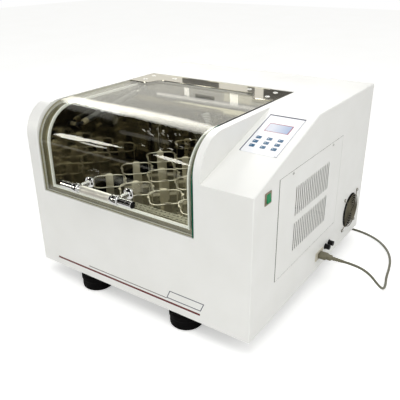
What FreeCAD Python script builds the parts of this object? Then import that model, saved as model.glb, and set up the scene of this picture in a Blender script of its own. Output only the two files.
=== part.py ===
"""Incubated benchtop shaker: bent glass lid, stainless chamber, orbital platform, control housing.

Millimetres. +X is the operator's right, +Y runs from the front to the back, +Z is up. The origin is on
the bench, under the middle of the overall size with the handle and the fuse caps.
"""
import FreeCAD, Part
import math
import os

V = FreeCAD.Vector
X_AXIS = V(1, 0, 0)
Y_AXIS = V(0, 1, 0)
Z_AXIS = V(0, 0, 1)

# Cabinet
CABINET_WIDTH = 720.0
CABINET_DEPTH = 736.0
CABINET_HEIGHT = 482.0
ORIGIN_FROM_LEFT = 367.5     # origin from the cabinet's left side
ORIGIN_FROM_FRONT = 341.75   # origin from the cabinet's front
SHEET = 1.5                  # painted steel sheet
EDGE_RADIUS = 3.0            # soft edges of the two cabinet sides
HOOD_RADIUS = 92.0           # bend of the painted hood beside the lid
CONTROL_WIDTH = 136.5        # control housing on the right
SLOPE_RUN = 324.6            # keypad slope, measured level
SLOPE_RISE = 104.3
BASE_SHEET = 2.0
BASE_FOLD = 15.0             # upturned edge of the base pan
REAR_FOLD = 24.0             # folded edge of the shell that carries the back cover
REAR_SCREW_INSET = 14.0

# Feet
FOOT_HEIGHT = 50.0
FOOT_RADIUS = 47.5
FOOT_WAIST = 2.0             # how much the foot narrows below its shoulder
FOOT_FROM_FRONT = 42.0       # foot centre behind the front, and before the rear
FOOT_LEFT = 181.0            # left foot centres from the cabinet's left side
FOOT_RIGHT = 213.0           # right foot centres from its right side

# Lid and its opening
LID_LEFT_MARGIN = 46.5       # painted strip left of the glass
LID_RIGHT_MARGIN = 21.5      # painted strip between the glass and the control housing
LID_LOW = 238.0              # lower glass edge above the cabinet's underside
LID_DEPTH = 494.0            # rear glass edge behind the cabinet's front
LID_BEND = 110.0             # centre of the glass bend behind the front and below the top
GLASS_INSET = 2.0            # outer glass face inside the cabinet's faces
GLASS = 5.0
LID_GAP = 2.0                # shadow gap round the glass
HINGE_SPACE = 15.0           # opening behind the glass
GASKET_HEIGHT = 7.5
GASKET_WIDTH = 8.0
GASKET_GAP = 0.3             # between the closed glass and the seal lip
FLANGE = 1.5

# Chamber
LINER = 1.5
CHAMBER_LEFT = 31.5          # inner left wall from the glass's left edge
CHAMBER_RIGHT = 21.0         # inner right wall from the glass's right edge
CHAMBER_FRONT = 48.0         # inner front wall behind the cabinet's front
CHAMBER_BACK = 176.0         # inner back wall before the cabinet's rear
CHAMBER_FLOOR = 146.0        # above the cabinet's underside
CHAMBER_CEILING = 440.0      # ceiling over the fan space
SILL = 19.0                  # front edge of the chamber's mouth above the lower glass edge
MOUTH_GAP = 3.0              # mouth's rear edge before the duct panel
INSULATION = 20.0
PACKING_GAP = 0.5            # insulation to sheet metal

# Air duct at the back of the chamber
DUCT_FRONT = 458.0
DUCT_LOW = 205.0
DUCT_HIGH = 418.0
DUCT_LIP = 12.0              # radius of the duct panel's edges
DUCT_FOLD = 25.0
DUCT_SHEET = 1.2
DUCT_SIDE_GAP = 0.3
DUCT_FAN_OFFSET = -9.5       # fan centre from the chamber's middle
DUCT_FAN_HEIGHT = 335.0
DUCT_FAN_RADIUS = 60.0
DUCT_GUARD_SPACING = 96.0
DUCT_ROTOR_HUB = 15.0
DUCT_ROTOR_DEPTH = 20.0
DUCT_ROTOR_BEHIND = 12.0     # rotor behind the duct panel's face
DUCT_ROTOR_BLADES = 6
DUCT_ROTOR_TWIST = 62.0      # degrees at the blades' roots
BLADE = 1.6                  # blade thickness of both fans
FAN_MOTOR_RADIUS = 36.0
FAN_MOTOR_LENGTH = 55.0
FAN_MOTOR_BOSS = 11.0
FAN_SHAFT_RADIUS = 4.0
HEATER_TUBE = 4.0
HEATER_LOOP = 66.0
HEATER_STAND = 38.0
PROBE_FROM_WALL = 20.0
PROBE_RADIUS = 1.6
PROBE_LOW = 226.0            # above the cabinet's underside
PROBE_CLIP = 318.0
PROBE_CLIP_HEIGHT = 14.0
PROBE_CLIP_DEPTH = 9.0

# Lid hinge
HINGE_BACK = 503.0           # hinge axis behind the front
HINGE_DROP = 5.0             # hinge axis below the cabinet's top
KNUCKLE_RADIUS = 4.0
KNUCKLES = 7
HINGE_PIN_RADIUS = 1.5
HINGE_LEAF = 1.5
HINGE_LEAF_HEIGHT = 18.0
RUNNING_GAP = 0.05           # radial clearance of shafts in their bores
SIDE_GAP = 0.3               # end clearance between moving pieces
STRIP = 1.5                  # polished strip on the glass
STRIP_NARROW = 60.0          # strip depth in the middle, from the glass's rear edge
STRIP_WIDE = 109.0           # strip depth at its ends
STRIP_END = 58.0             # length of each wide end
STRIP_BLEND = 42.0           # length of each S-shaped step

# Handle
HANDLE_OFFSET = -4.25        # handle centre from the lid's middle
HANDLE_Z = 304.0             # above the cabinet's underside
HANDLE_REACH = 47.0          # bar centre before the glass
HANDLE_LENGTH = 246.0
HANDLE_RADIUS = 9.5
SLEEVE_LENGTH = 100.0
SLEEVE_WALL = 1.3
END_CAP = 8.0
END_CAP_TAPER = 2.0
POST_SPACING = 135.0
POST_RADIUS = 7.0
ROSETTE_RADIUS = 15.0
ROSETTE = 6.0
POST_NUT_RADIUS = 9.0
POST_NUT = 4.0
POST_STUD = 5.0              # radius of the stud through the glass
POST_HOLE = 5.5
SADDLE = 3.5                 # wall of the post's sleeve round the bar
SADDLE_HALF = 9.0
STRIP_NUT_RADIUS = 3.8
STRIP_NUT_HEIGHT = 2.6

# Gas strut, beside the left chamber wall
STRUT_X = 16.0               # strut centre from the chamber wall
STRUT_FRONT = 107.0          # front pivot behind the cabinet's front
STRUT_FRONT_HEIGHT = 410.0
STRUT_BACK = 402.0           # rear pivot on the lid
STRUT_BACK_HEIGHT = 460.0
STRUT_EYE_RADIUS = 7.0
STRUT_EYE_WIDTH = 9.0
STRUT_NECK_RADIUS = 4.2
STRUT_NECK_START = 4.0       # necks start this far from the eyes' axes
STRUT_NECK = 20.0            # end of the cylinder's neck
STRUT_FITTING = 22.0         # end fitting of the cylinder
ROD_LENGTH = 226.0
ROD_NECK = 18.0
STRUT_PIN_RADIUS = 3.5
STRUT_BRACKET = 2.0          # sheet of the lid bracket
BRACKET_SCREW = 4            # number of the strip screw that holds it
CYLINDER_RADIUS = 9.0
CYLINDER_END = 252.0         # rear end of the cylinder from the front pivot
ROD_RADIUS = 4.0

# Keypad on the slope
KEYPAD_FROM_RIGHT = 70.5     # middle of the keypad from the cabinet's right side
KEYPAD_WIDTH = 99.0
KEYPAD_START = 144.0         # lower keypad edge, measured up the slope
KEYPAD_LENGTH = 164.0
KEYPAD_PLATE = 0.8
KEY_WIDTH = 13.0
KEY_DEPTH = 10.0
KEY_COLUMN = 28.7
KEY_ROW = 17.6
KEY_START = 171.0            # lower row of keys, measured up the slope
KEY_PROUD = 0.7              # key face above the plate
KEY_TRAVEL = 0.5
KEY_GAP = 0.15
KEY_BELOW = 1.0              # key stem below the sheet
KEY_CORNER = 1.5
KEY_WINDOW_MARGIN = 3.0      # cut-out in the sheet beyond the outer keys
SWITCH_SIZE = 6.0
BOARD = 1.6
BOARD_DROP = 9.0
STANDOFF = 10.0              # main board above the base pan
MAIN_BOARD_LENGTH = 150.0
BOARD_FROM_REAR = 198.0
SUPPLY_LENGTH = 130.0
SUPPLY_HEIGHT = 45.0
SUPPLY_FROM_FRONT = 178.0
DISPLAY_WIDTH = 68.0
DISPLAY_LENGTH = 36.0
DISPLAY_START = 236.0
DISPLAY_LEDGE = 3.0          # width of sheet that the window rests on
WINDOW_GAP = 0.1

# Rocker switch on the right side
SWITCH_Y = 61.8
SWITCH_Z = 356.5
BEZEL_WIDTH = 28.4
BEZEL_HEIGHT = 29.0
BEZEL = 2.0
BEZEL_BODY_WIDTH = 21.0
BEZEL_BODY_HEIGHT = 24.4
BEZEL_BODY_DEPTH = 18.0
BEZEL_WALL = 1.2
ROCKER_TILT = 9.0            # degrees each side of the middle
ROCKER_PROUD = 4.5

# Service panel on the right side
PANEL_FRONT = 117.0
PANEL_BACK = 508.0
PANEL_LOW = 107.0
PANEL_HIGH = 380.0
PANEL_GAP = 1.2
PANEL_LEDGE = 12.0
LOUVRE_COUNT = 18
LOUVRE_PITCH = 11.9
LOUVRE_WIDTH = 4.6
LOUVRE_LENGTH = 82.0
LOUVRE_FRONT = 213.0         # first slot behind the cabinet's front
LOUVRE_LOW = 150.0
LOUVRE_HIGH = 249.0
LOUVRE_HOOD = 2.2            # how far each pressed lip stands out
LOUVRE_SHEET = 0.8

# Side fan
FAN_FROM_REAR = 96.0
FAN_Z = 95.0
FAN_SIZE = 119.0
FAN_DEPTH = 38.0
FAN_BORE = 57.0
FAN_HUB = 25.0
FAN_TIP_GAP = 1.5
FAN_SCREW_SPACING = 105.0
FAN_BLADES = 7
FAN_TWIST = 58.0             # degrees at the blades' roots
FAN_SPINDLE = 4.0
FAN_CUP = 5.0                # depth of the motor cup
GUARD_WIRE = 1.1             # radius of the guard wires
GUARD_STAND = 6.0            # rings before the wall
GUARD_RINGS = 4
EAR_RADIUS = 5.0
EAR = 2.6                    # thickness of the guard's ears
SCREW_HEAD = 4.0
SCREW_HEAD_HEIGHT = 2.4
SCREW_SHANK = 1.9

# Power inlet and fuses
INLET_Y = 405.0
INLET_Z = 46.0
INLET_FLANGE = 2.5
INLET_WIDTH = 50.0
INLET_HEIGHT = 26.0
INLET_BODY_WIDTH = 29.0
INLET_BODY_HEIGHT = 21.5
INLET_DEPTH = 20.0
SOCKET_WIDTH = 24.6
SOCKET_HEIGHT = 17.0
SOCKET_DEPTH = 15.0
FUSE_FRONT_Y = 450.0
FUSE_BACK_Y = 478.0
FUSE_Z = 52.0
FUSE_RADIUS = 7.5
FUSE_LENGTH = 15.0
FUSE_COLLAR = 1.5            # collar and nut beyond the cap
FUSE_BODY_RADIUS = 6.0
FUSE_BODY_LENGTH = 26.0

# Drive under the chamber, platform inside it
ORBIT = 13.0                 # crank throw
CRANK_SPREAD_X = 120.0       # idler cranks beside the drive crank
CRANK_FRONT = 70.0           # drive crank before the platform's middle
CRANK_BACK = 70.0            # idler cranks behind the platform's middle
SHAFT_RADIUS = 8.0
CRANK_PIN_RADIUS = 5.0
CRANK_WEB = 8.0
CRANK_WEB_RADIUS = 22.0
WEB_RISE = 4.0               # web above the chamber floor
COUNTERWEIGHT_RADIUS = 42.0
BEARING_WALL = 8.0
HOUSING_RADIUS = 21.0
HOUSING_LENGTH = 26.0
BEARING_PLATE = 8.0
PLATE_MARGIN = 23.0          # plate beyond the motor
PLATE_DEPTH = 220.0
PLATE_HEIGHT = 112.0         # underside of the bearing plate above the cabinet's underside
STANDOFF_RADIUS = 9.0
STANDOFF_INSET = 14.0        # stand-off centres from the plate's edges
FLOOR_HOLE_GAP = 5.0
PULLEY_RADIUS = 60.0
MOTOR_PULLEY_RADIUS = 20.0
PULLEY_WIDTH = 10.0
PULLEY_RIM = 2.5
PULLEY_FLANGE = 1.2
PULLEY_DROP = 3.0            # pulley below the bearing housing
BELT = 2.4
BELT_GAP = 0.3
MOTOR_OFFSET = 135.0
MOTOR_RADIUS = 42.0
MOTOR_HEIGHT = 56.0
MOTOR_BOSS = 8.0
MOTOR_SHAFT_RADIUS = 5.0
TRAY_GAP_SIDE = 13.5         # tray to the side walls at the end of the throw
TRAY_GAP_FRONT = 20.0
TRAY_GAP_BACK = 8.0          # tray to the duct panel
TRAY_TOP = 182.0             # above the cabinet's underside
TRAY_SHEET = 1.5
TRAY_RIM = 14.0
FRAME_MARGIN_SIDE = 45.0     # frame beyond the crank pins
FRAME_MARGIN_FRONT = 50.0
FRAME_PLATE = 5.0
FRAME_BAR = 44.0             # width of the frame's bars
BOSS_RADIUS = 17.0
BOSS_DROP = 10.0

# Flask clamps on the platform
CLAMP_EDGE_X = 49.0          # outer clamps' middles from the tray's edges
CLAMP_EDGE_Y = 56.0
CLAMP_SPACE_X = 98.0         # least distance between clamps
CLAMP_SPACE_Y = 110.0
CLAMP_SHEET = 1.2
CLAMP_INNER = 42.6           # inner face of the arms from the clamp's middle
CLAMP_ARM_WIDTH = 22.0
CLAMP_HEIGHT = 66.0
CLAMP_LIP = 5.5
SPRING_WIRE = 1.5            # wire radius of the spring ring
SPRING_DROP = 2.9            # ring centre below the arm tops
SPRING_CORNER = 38.0
SPRING_GAP = 0.25            # ring to arm

# Mains cord
CORD_RADIUS = 3.5
FLOOR_GAP = 0.1              # plug above the bench
CORD_FLOOR = 3.6             # height of the cord's centre where it lies on the bench
CONNECTOR_WIDTH = 27.0
CONNECTOR_HEIGHT = 19.0
CONNECTOR_LENGTH = 42.0
RELIEF_LENGTH = 34.0
RELIEF_RADIUS = 6.0
COIL_FROM_RIGHT = 182.5      # coil centre from the cabinet's right side
COIL_BEHIND = 77.75          # coil centre behind the cabinet
COIL_RADIUS = 40.0           # middle of the turns
COIL_LAYERS = 2
PLUG_WIDTH = 38.0
PLUG_HEIGHT = 26.0
PLUG_LENGTH = 46.0
PLUG_RELIEF = 26.0

# Places worked out from the sizes above
left = -ORIGIN_FROM_LEFT
right = left + CABINET_WIDTH
front = -ORIGIN_FROM_FRONT
rear = front + CABINET_DEPTH
under = FOOT_HEIGHT
top = under + CABINET_HEIGHT
split = right - CONTROL_WIDTH
slope_angle = math.atan2(SLOPE_RISE, SLOPE_RUN)
slope_low = top - SLOPE_RISE
inner_base = under + BASE_SHEET

lid_left = left + LID_LEFT_MARGIN
lid_right = split - LID_RIGHT_MARGIN
lid_low = under + LID_LOW
lid_back = front + LID_DEPTH
recess = GLASS_INSET + GLASS + GASKET_HEIGHT + FLANGE

chamber_left = lid_left + CHAMBER_LEFT
chamber_right = lid_right - CHAMBER_RIGHT
chamber_front = front + CHAMBER_FRONT
chamber_back = rear - CHAMBER_BACK
floor = under + CHAMBER_FLOOR
ceiling = under + CHAMBER_CEILING
sill = lid_low + SILL
duct_front = front + DUCT_FRONT
mouth_back = duct_front - MOUTH_GAP
duct_fan = V((chamber_left + chamber_right) / 2 + DUCT_FAN_OFFSET, 0, under + DUCT_FAN_HEIGHT)

hinge_y = front + HINGE_BACK
hinge_z = top - HINGE_DROP
opening_back = lid_back + HINGE_SPACE

strut_x = chamber_left + STRUT_X
strut_start = V(strut_x, front + STRUT_FRONT, under + STRUT_FRONT_HEIGHT)
strut_end = V(strut_x, front + STRUT_BACK, under + STRUT_BACK_HEIGHT)
strut_direction = (strut_end - strut_start).normalize()

drive_x = (chamber_left + chamber_right) / 2
tray_width = chamber_right - chamber_left - 2 * (ORBIT + TRAY_GAP_SIDE)
tray_front = chamber_front + TRAY_GAP_FRONT + ORBIT
tray_back = duct_front - TRAY_GAP_BACK - ORBIT
tray_depth = tray_back - tray_front
drive_middle_y = (tray_front + tray_back) / 2
drive_y = drive_middle_y - CRANK_FRONT
idler_y = drive_middle_y + CRANK_BACK
idler_places = {"left": drive_x - CRANK_SPREAD_X, "right": drive_x + CRANK_SPREAD_X}
crank_places = [(drive_x, drive_y)] + [(x, idler_y) for x in idler_places.values()]
plate_low = under + PLATE_HEIGHT
housing_low = plate_low + (BEARING_PLATE - HOUSING_LENGTH) / 2
web_low = floor + WEB_RISE
web_high = web_low + CRANK_WEB
tray_top = under + TRAY_TOP
frame_high = tray_top - TRAY_SHEET
frame_low = frame_high - FRAME_PLATE
boss_low = frame_low - BOSS_DROP
pulley_high = housing_low - PULLEY_DROP
pulley_low = pulley_high - PULLEY_WIDTH
motor_x = drive_x + MOTOR_OFFSET
plate_width = 2 * (MOTOR_OFFSET + MOTOR_RADIUS + PLATE_MARGIN)
motor_top = inner_base + MOTOR_HEIGHT
platform_x = drive_x + ORBIT
frame_width = 2 * (CRANK_SPREAD_X + FRAME_MARGIN_SIDE)
frame_depth = CRANK_FRONT + CRANK_BACK + 2 * FRAME_MARGIN_FRONT
clamp_span_x = tray_width - 2 * CLAMP_EDGE_X
clamp_span_y = tray_depth - 2 * CLAMP_EDGE_Y
clamp_steps_x = int(clamp_span_x / CLAMP_SPACE_X)
clamp_steps_y = int(clamp_span_y / CLAMP_SPACE_Y)
clamp_places = [
    V(platform_x + (column / clamp_steps_x - 0.5) * clamp_span_x,
      drive_middle_y + (row / clamp_steps_y - 0.5) * clamp_span_y, tray_top)
    for row in range(clamp_steps_y + 1) for column in range(clamp_steps_x + 1)]
inlet = V(right, front + INLET_Y, under + INLET_Z)
side_fan = V(right - SHEET, rear - FAN_FROM_REAR, under + FAN_Z)
switch = V(right, front + SWITCH_Y, under + SWITCH_Z)
keypad_x = right - KEYPAD_FROM_RIGHT
cord_exit = V(right + CONNECTOR_LENGTH + RELIEF_LENGTH, inlet.y, inlet.z)
coil_centre = V(right - COIL_FROM_RIGHT, rear + COIL_BEHIND, 0)
handle_x = (lid_left + lid_right) / 2 + HANDLE_OFFSET


# ------------------------------------------------------------------ helpers

def box(x0, x1, y0, y1, z0, z1):
    """Box between two corners."""
    return Part.makeBox(x1 - x0, y1 - y0, z1 - z0, V(x0, y0, z0))


def rod(radius, start, end):
    """Round bar from start to end."""
    span = end - start
    return Part.makeCylinder(radius, span.Length, start, span)


def ring(outer, inner, start, end):
    """Round tube from start to end."""
    return rod(outer, start, end).cut(rod(inner, start, end))


def fused(shapes):
    """One solid from touching shapes."""
    return shapes[0].fuse(shapes[1:]).removeSplitter()


def prism(points, direction):
    """Prism from a closed outline of corner points."""
    return Part.Face(Part.makePolygon(points + [points[0]])).extrude(direction)


def rounded_box(x0, x1, y0, y1, z0, z1, radius, axis):
    """Box whose edges along one axis are rounded."""
    shape = box(x0, x1, y0, y1, z0, z1)
    edges = [e for e in shape.Edges if abs(e.tangentAt(e.FirstParameter).dot(axis)) > 0.99]
    return shape.makeFillet(radius, edges)


def bend_prism(x0, x1, inset, bend, back, low):
    """Prism along X: front and top faces lie inset inside the cabinet's, joined by a bend."""
    reach = (bend - inset) * math.sqrt(0.5)
    start = V(x0, front + inset, top - bend)
    middle = V(x0, front + bend - reach, top - bend + reach)
    end = V(x0, front + bend, top - inset)
    corners = [end, V(x0, back, top - inset), V(x0, back, low), V(x0, front + inset, low), start]
    edges = [Part.Arc(start, middle, end).toShape()]
    edges += [Part.LineSegment(a, b).toShape() for a, b in zip(corners, corners[1:])]
    return Part.Face(Part.Wire(edges)).extrude(V(x1 - x0, 0, 0))


def slope_prism(x0, x1, inset, back, low):
    """Prism along X with the control housing's side profile, inset by a wall."""
    drop = inset / math.cos(slope_angle)
    rise = math.tan(slope_angle)
    z_front = slope_low + inset * rise - drop
    y_top = front + (SLOPE_RISE - inset + drop) / rise
    outline = [V(x0, front + inset, low), V(x0, front + inset, z_front), V(x0, y_top, top - inset),
               V(x0, back, top - inset), V(x0, back, low)]
    return prism(outline, V(x1 - x0, 0, 0))


def on_slope(shape):
    """Moves a shape drawn flat (X, up the slope, outward) onto the keypad slope."""
    place = FreeCAD.Placement(V(0, front, slope_low), FreeCAD.Rotation(X_AXIS, math.degrees(slope_angle)))
    moved = shape.copy()
    moved.transformShape(place.toMatrix())
    return moved


def turned(shape, centre, axis, degrees):
    """Copy of a shape turned about an axis through a point."""
    moved = shape.copy()
    moved.rotate(centre, axis, degrees)
    return moved


def section(radius, centre, across, up, sides):
    """Regular outline about a point, in the plane of two unit directions."""
    points = []
    for k in range(sides + 1):
        turn = 2 * math.pi * k / sides
        points.append(centre + across * (radius * math.cos(turn)) + up * (radius * math.sin(turn)))
    return Part.Face(Part.makePolygon(points))


def wire(radius, start, end, sides=6):
    """Straight bar with flat sides, for wires, studs, nuts and screws."""
    span = end - start
    along = V(span).normalize()
    side = along.cross(Z_AXIS) if abs(along.z) < 0.99 else X_AXIS
    side.normalize()
    return section(radius, start, side, side.cross(along), sides).extrude(span)


def wire_loop(radius, loop, centre, sweep=360):
    """Wire bent round a vertical axis, starting towards +X of the centre."""
    return section(radius, centre + X_AXIS * loop, X_AXIS, Z_AXIS, 4).revolve(centre, Z_AXIS, sweep)


def screw(head_at, outward, shank):
    """Screw: head_at is the middle of the face that the head sits on."""
    head = wire(SCREW_HEAD, head_at, head_at + outward * SCREW_HEAD_HEIGHT)
    return head.fuse(wire(SCREW_SHANK, head_at - outward * shank, head_at))


def blade_section(radius, depth, lean, chord):
    """Closed outline of a fan blade at a radius, leaning from the plane of turning."""
    along = V(0, math.cos(lean), math.sin(lean)) * chord
    across = V(0, -math.sin(lean), math.cos(lean)) * BLADE
    start = V(radius, 0, depth / 2) - (along + across) * 0.5
    return Part.makePolygon([start, start + along, start + along + across, start + across, start])


def axial_rotor(hub, tip, depth, blades, twist):
    """Fan rotor about +Z from z = 0 to depth, with twisted blades."""
    lean = math.radians(twist)
    root = blade_section(hub - BLADE, depth, lean, depth * 0.86)
    end = blade_section(tip, depth, lean * 0.55, depth * 1.29)
    blade = Part.makeLoft([root, end], True, True).common(Part.makeCylinder(tip, depth))
    places = [turned(blade, V(0, 0, 0), Z_AXIS, 360 * k / blades) for k in range(blades)]
    return fused([Part.makeCylinder(hub, depth)] + places)


def aimed(shape, place, axis):
    """Moves a shape built about +Z to a place, with +Z turned to the axis."""
    moved = shape.copy()
    moved.transformShape(FreeCAD.Placement(place, FreeCAD.Rotation(Z_AXIS, axis)).toMatrix())
    return moved


def wire_guard(radius, screw_spacing):
    """Wire finger guard about +Z; its ears lie on z = 0."""
    corner = screw_spacing / 2 * math.sqrt(2)
    centre = V(0, 0, GUARD_STAND)
    rings = [wire_loop(GUARD_WIRE, radius * (k + 1) / GUARD_RINGS, centre) for k in range(GUARD_RINGS)]
    height = GUARD_STAND - 1.3 * GUARD_WIRE
    legs = []
    for k in range(4):
        spoke = wire(GUARD_WIRE, V(radius / GUARD_RINGS - 1, 0, height), V(radius + 2, 0, height))
        shin = wire(GUARD_WIRE, V(radius + 1, 0, height), V(corner - EAR_RADIUS + 1, 0, EAR / 2))
        ear = ring(EAR_RADIUS, SCREW_SHANK, V(corner, 0, 0), V(corner, 0, EAR))
        legs.append(turned(fused([spoke, shin, ear]), V(0, 0, 0), Z_AXIS, 45 + 90 * k))
    return fused(rings + legs)


# ------------------------------------------------------------------ cabinet

def lid_opening(grow):
    """Space of the cabinet's lid opening, grown sideways, down and back."""
    edge = LID_GAP + grow
    return box(lid_left - edge, lid_right + edge, front - 1, opening_back + grow, lid_low - edge, top + 1)


def soft_sides(shape):
    """Rounds the long edges of both cabinet sides."""
    edges = []
    for edge in shape.Edges:
        at_side = all(min(abs(v.X - left), abs(v.X - right)) < 0.01 for v in edge.Vertexes)
        centre = edge.CenterOfMass
        if at_side and centre.z > under + 1 and centre.y < rear - 1:
            edges.append(edge)
    return shape.makeFillet(EDGE_RADIUS, edges)


def key_places():
    """Middle of each key on the slope, row by row from the lower left."""
    return [(keypad_x + (column - 1) * KEY_COLUMN, KEY_START + row * KEY_ROW)
            for row in range(3) for column in range(3)]


def key_block(x, up, gap, low, high):
    """Rounded block of a key's plan, grown by a gap, drawn flat."""
    wide = KEY_WIDTH / 2 + gap
    deep = KEY_DEPTH / 2 + gap
    return rounded_box(x - wide, x + wide, up - deep, up + deep, low, high, KEY_CORNER + gap, Z_AXIS)


def key_window(low, high):
    """Block of the cut-out under the keys, drawn flat."""
    half = KEY_COLUMN + KEY_WIDTH / 2 + KEY_WINDOW_MARGIN
    start = KEY_START - KEY_DEPTH / 2 - KEY_WINDOW_MARGIN
    end = KEY_START + 2 * KEY_ROW + KEY_DEPTH / 2 + KEY_WINDOW_MARGIN
    return box(keypad_x - half, keypad_x + half, start, end, low, high)


def display_block(grow, low, high):
    """Block of the display window's plan, drawn flat."""
    wide = DISPLAY_WIDTH / 2 + grow
    return box(keypad_x - wide, keypad_x + wide, DISPLAY_START - grow,
               DISPLAY_START + DISPLAY_LENGTH + grow, low, high)


def wall_openings():
    """Cut-outs of the cabinet shell for what is mounted in it."""
    wall = V(right - 3 * SHEET, 0, 0)
    panel = box(wall.x, right + 1, front + PANEL_FRONT, front + PANEL_BACK, under + PANEL_LOW, under + PANEL_HIGH)
    cuts = [panel]
    cuts.append(rod(FAN_BORE, side_fan - X_AXIS * SHEET, side_fan + X_AXIS * 2 * SHEET))
    for y, z in fan_screw_places():
        cuts.append(rod(SCREW_SHANK, V(wall.x, y, z), V(right + 1, y, z)))
    cuts.append(side_block(inlet, INLET_BODY_WIDTH, INLET_BODY_HEIGHT, -3 * SHEET, 1))
    cuts.append(side_block(switch, BEZEL_BODY_WIDTH, BEZEL_BODY_HEIGHT, -3 * SHEET, 1))
    for y in (FUSE_FRONT_Y, FUSE_BACK_Y):
        hole = V(wall.x, front + y, under + FUSE_Z)
        cuts.append(rod(FUSE_BODY_RADIUS, hole, hole + X_AXIS * 4 * SHEET))
    cuts.append(on_slope(key_window(-2 * SHEET, SHEET)))
    cuts.append(on_slope(display_block(-DISPLAY_LEDGE, -2 * SHEET, SHEET)))
    return cuts


def side_block(centre, width, height, low, high):
    """Block on the right cabinet side, low to high measured outward from the side's face."""
    return box(right + low, right + high, centre.y - width / 2, centre.y + width / 2,
               centre.z - height / 2, centre.z + height / 2)


def cabinet_shell():
    """Painted hood and control housing with the folded collar of the lid opening."""
    outer = bend_prism(left, split, 0, HOOD_RADIUS, rear, under)
    outer = soft_sides(outer.fuse(slope_prism(split, right, 0, rear, under)).removeSplitter())
    inner = bend_prism(left + SHEET, split - SHEET, SHEET, HOOD_RADIUS, rear + 1, under - 1)
    inner = inner.fuse(slope_prism(split - 2 * SHEET, right - SHEET, SHEET, rear + 1, under - 1))
    shell = outer.cut(inner)
    collar = bend_prism(left, split, 0, HOOD_RADIUS, rear, under)
    collar = collar.cut(bend_prism(left - 1, split + 1, recess, LID_BEND, rear + 1, under - 1))
    collar = collar.common(lid_opening(SHEET))
    shell = shell.fuse(collar).cut(lid_opening(0))
    ledge_x = right - SHEET
    ledge = box(ledge_x - SHEET, ledge_x, front + PANEL_FRONT - PANEL_LEDGE, front + PANEL_BACK + PANEL_LEDGE,
                under + PANEL_LOW - PANEL_LEDGE, under + PANEL_HIGH + PANEL_LEDGE)
    shell = shell.cut(wall_openings())
    ledge = ledge.cut(box(ledge_x - 2 * SHEET, right, front + PANEL_FRONT + PANEL_LEDGE,
                          front + PANEL_BACK - PANEL_LEDGE, under + PANEL_LOW + PANEL_LEDGE,
                          under + PANEL_HIGH - PANEL_LEDGE))
    fold = box(left + SHEET, right - SHEET, rear - 2 * SHEET, rear - SHEET, under + BASE_FOLD, top - SHEET)
    fold = fold.cut(box(left + REAR_FOLD, right - REAR_FOLD, rear - 3 * SHEET, rear, under, top - REAR_FOLD))
    holes = [rod(SCREW_SHANK, V(right - 3 * SHEET, y, z), V(right, y, z)) for y, z in panel_screw_places()]
    holes += [rod(SCREW_SHANK, V(x, rear - 3 * SHEET, z), V(x, rear, z)) for x, z in rear_screw_places()]
    return shell.fuse([ledge, fold]).cut(holes).removeSplitter()


def rear_screw_places():
    """Screws of the back cover, x and z, three in each side fold."""
    inset = REAR_SCREW_INSET
    return [(x, z) for x in (left + inset, right - inset)
            for z in (under + BASE_FOLD + inset, under + CABINET_HEIGHT / 2, top - inset)]


def rear_panel():
    """Plain back cover, set into the shell."""
    panel = box(left + SHEET, right - SHEET, rear - SHEET, rear, inner_base, top - SHEET)
    return panel.cut([rod(SCREW_SHANK, V(x, rear - 3, z), V(x, rear + 1, z)) for x, z in rear_screw_places()])


def base_pan():
    """Floor sheet with upturned edges, set into the shell."""
    x0, x1 = left + SHEET, right - SHEET
    y0, y1 = front + SHEET, rear
    pan = box(x0, x1, y0, y1, under, under + BASE_FOLD)
    hollow = box(x0 + BASE_SHEET, x1 - BASE_SHEET, y0 + BASE_SHEET, y1 - BASE_SHEET - SHEET,
                 inner_base, under + BASE_FOLD + 1)
    return pan.cut(hollow).cut(box(x0, x1, rear - SHEET, rear, inner_base, under + BASE_FOLD))


def rubber_feet():
    """Four round rubber mounts with a shoulder under the cabinet."""
    shoulder = FOOT_HEIGHT * 0.84
    waist = FOOT_RADIUS - FOOT_WAIST
    outline = [V(0, 0, 0), V(waist, 0, 0), V(waist, 0, shoulder - 14),
               V(FOOT_RADIUS, 0, shoulder - 6), V(FOOT_RADIUS, 0, shoulder), V(waist - 2, 0, FOOT_HEIGHT),
               V(0, 0, FOOT_HEIGHT)]
    foot = Part.Face(Part.makePolygon(outline + [outline[0]])).revolve(V(0, 0, 0), Z_AXIS, 360)
    feet = []
    for x in (left + FOOT_LEFT, right - FOOT_RIGHT):
        for y in (front + FOOT_FROM_FRONT, rear - FOOT_FROM_FRONT):
            feet.append(foot.translated(V(x, y, 0)))
    return Part.makeCompound(feet)


# ------------------------------------------------------------------ chamber

def chamber_mouth(grow):
    """Space of the chamber's mouth in front and above, grown sideways, down and back."""
    return box(chamber_left - grow, chamber_right + grow, front - 1, mouth_back + grow, sill - grow, top + 1)


def chamber_space(grow):
    """Inside of the chamber, grown by a wall."""
    x0, x1 = chamber_left - grow, chamber_right + grow
    well = box(x0, x1, chamber_front - grow, chamber_back + grow, floor - grow, ceiling + grow)
    return well.fuse(bend_prism(x0, x1, recess - grow, LID_BEND, mouth_back + grow, sill - grow))


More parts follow.
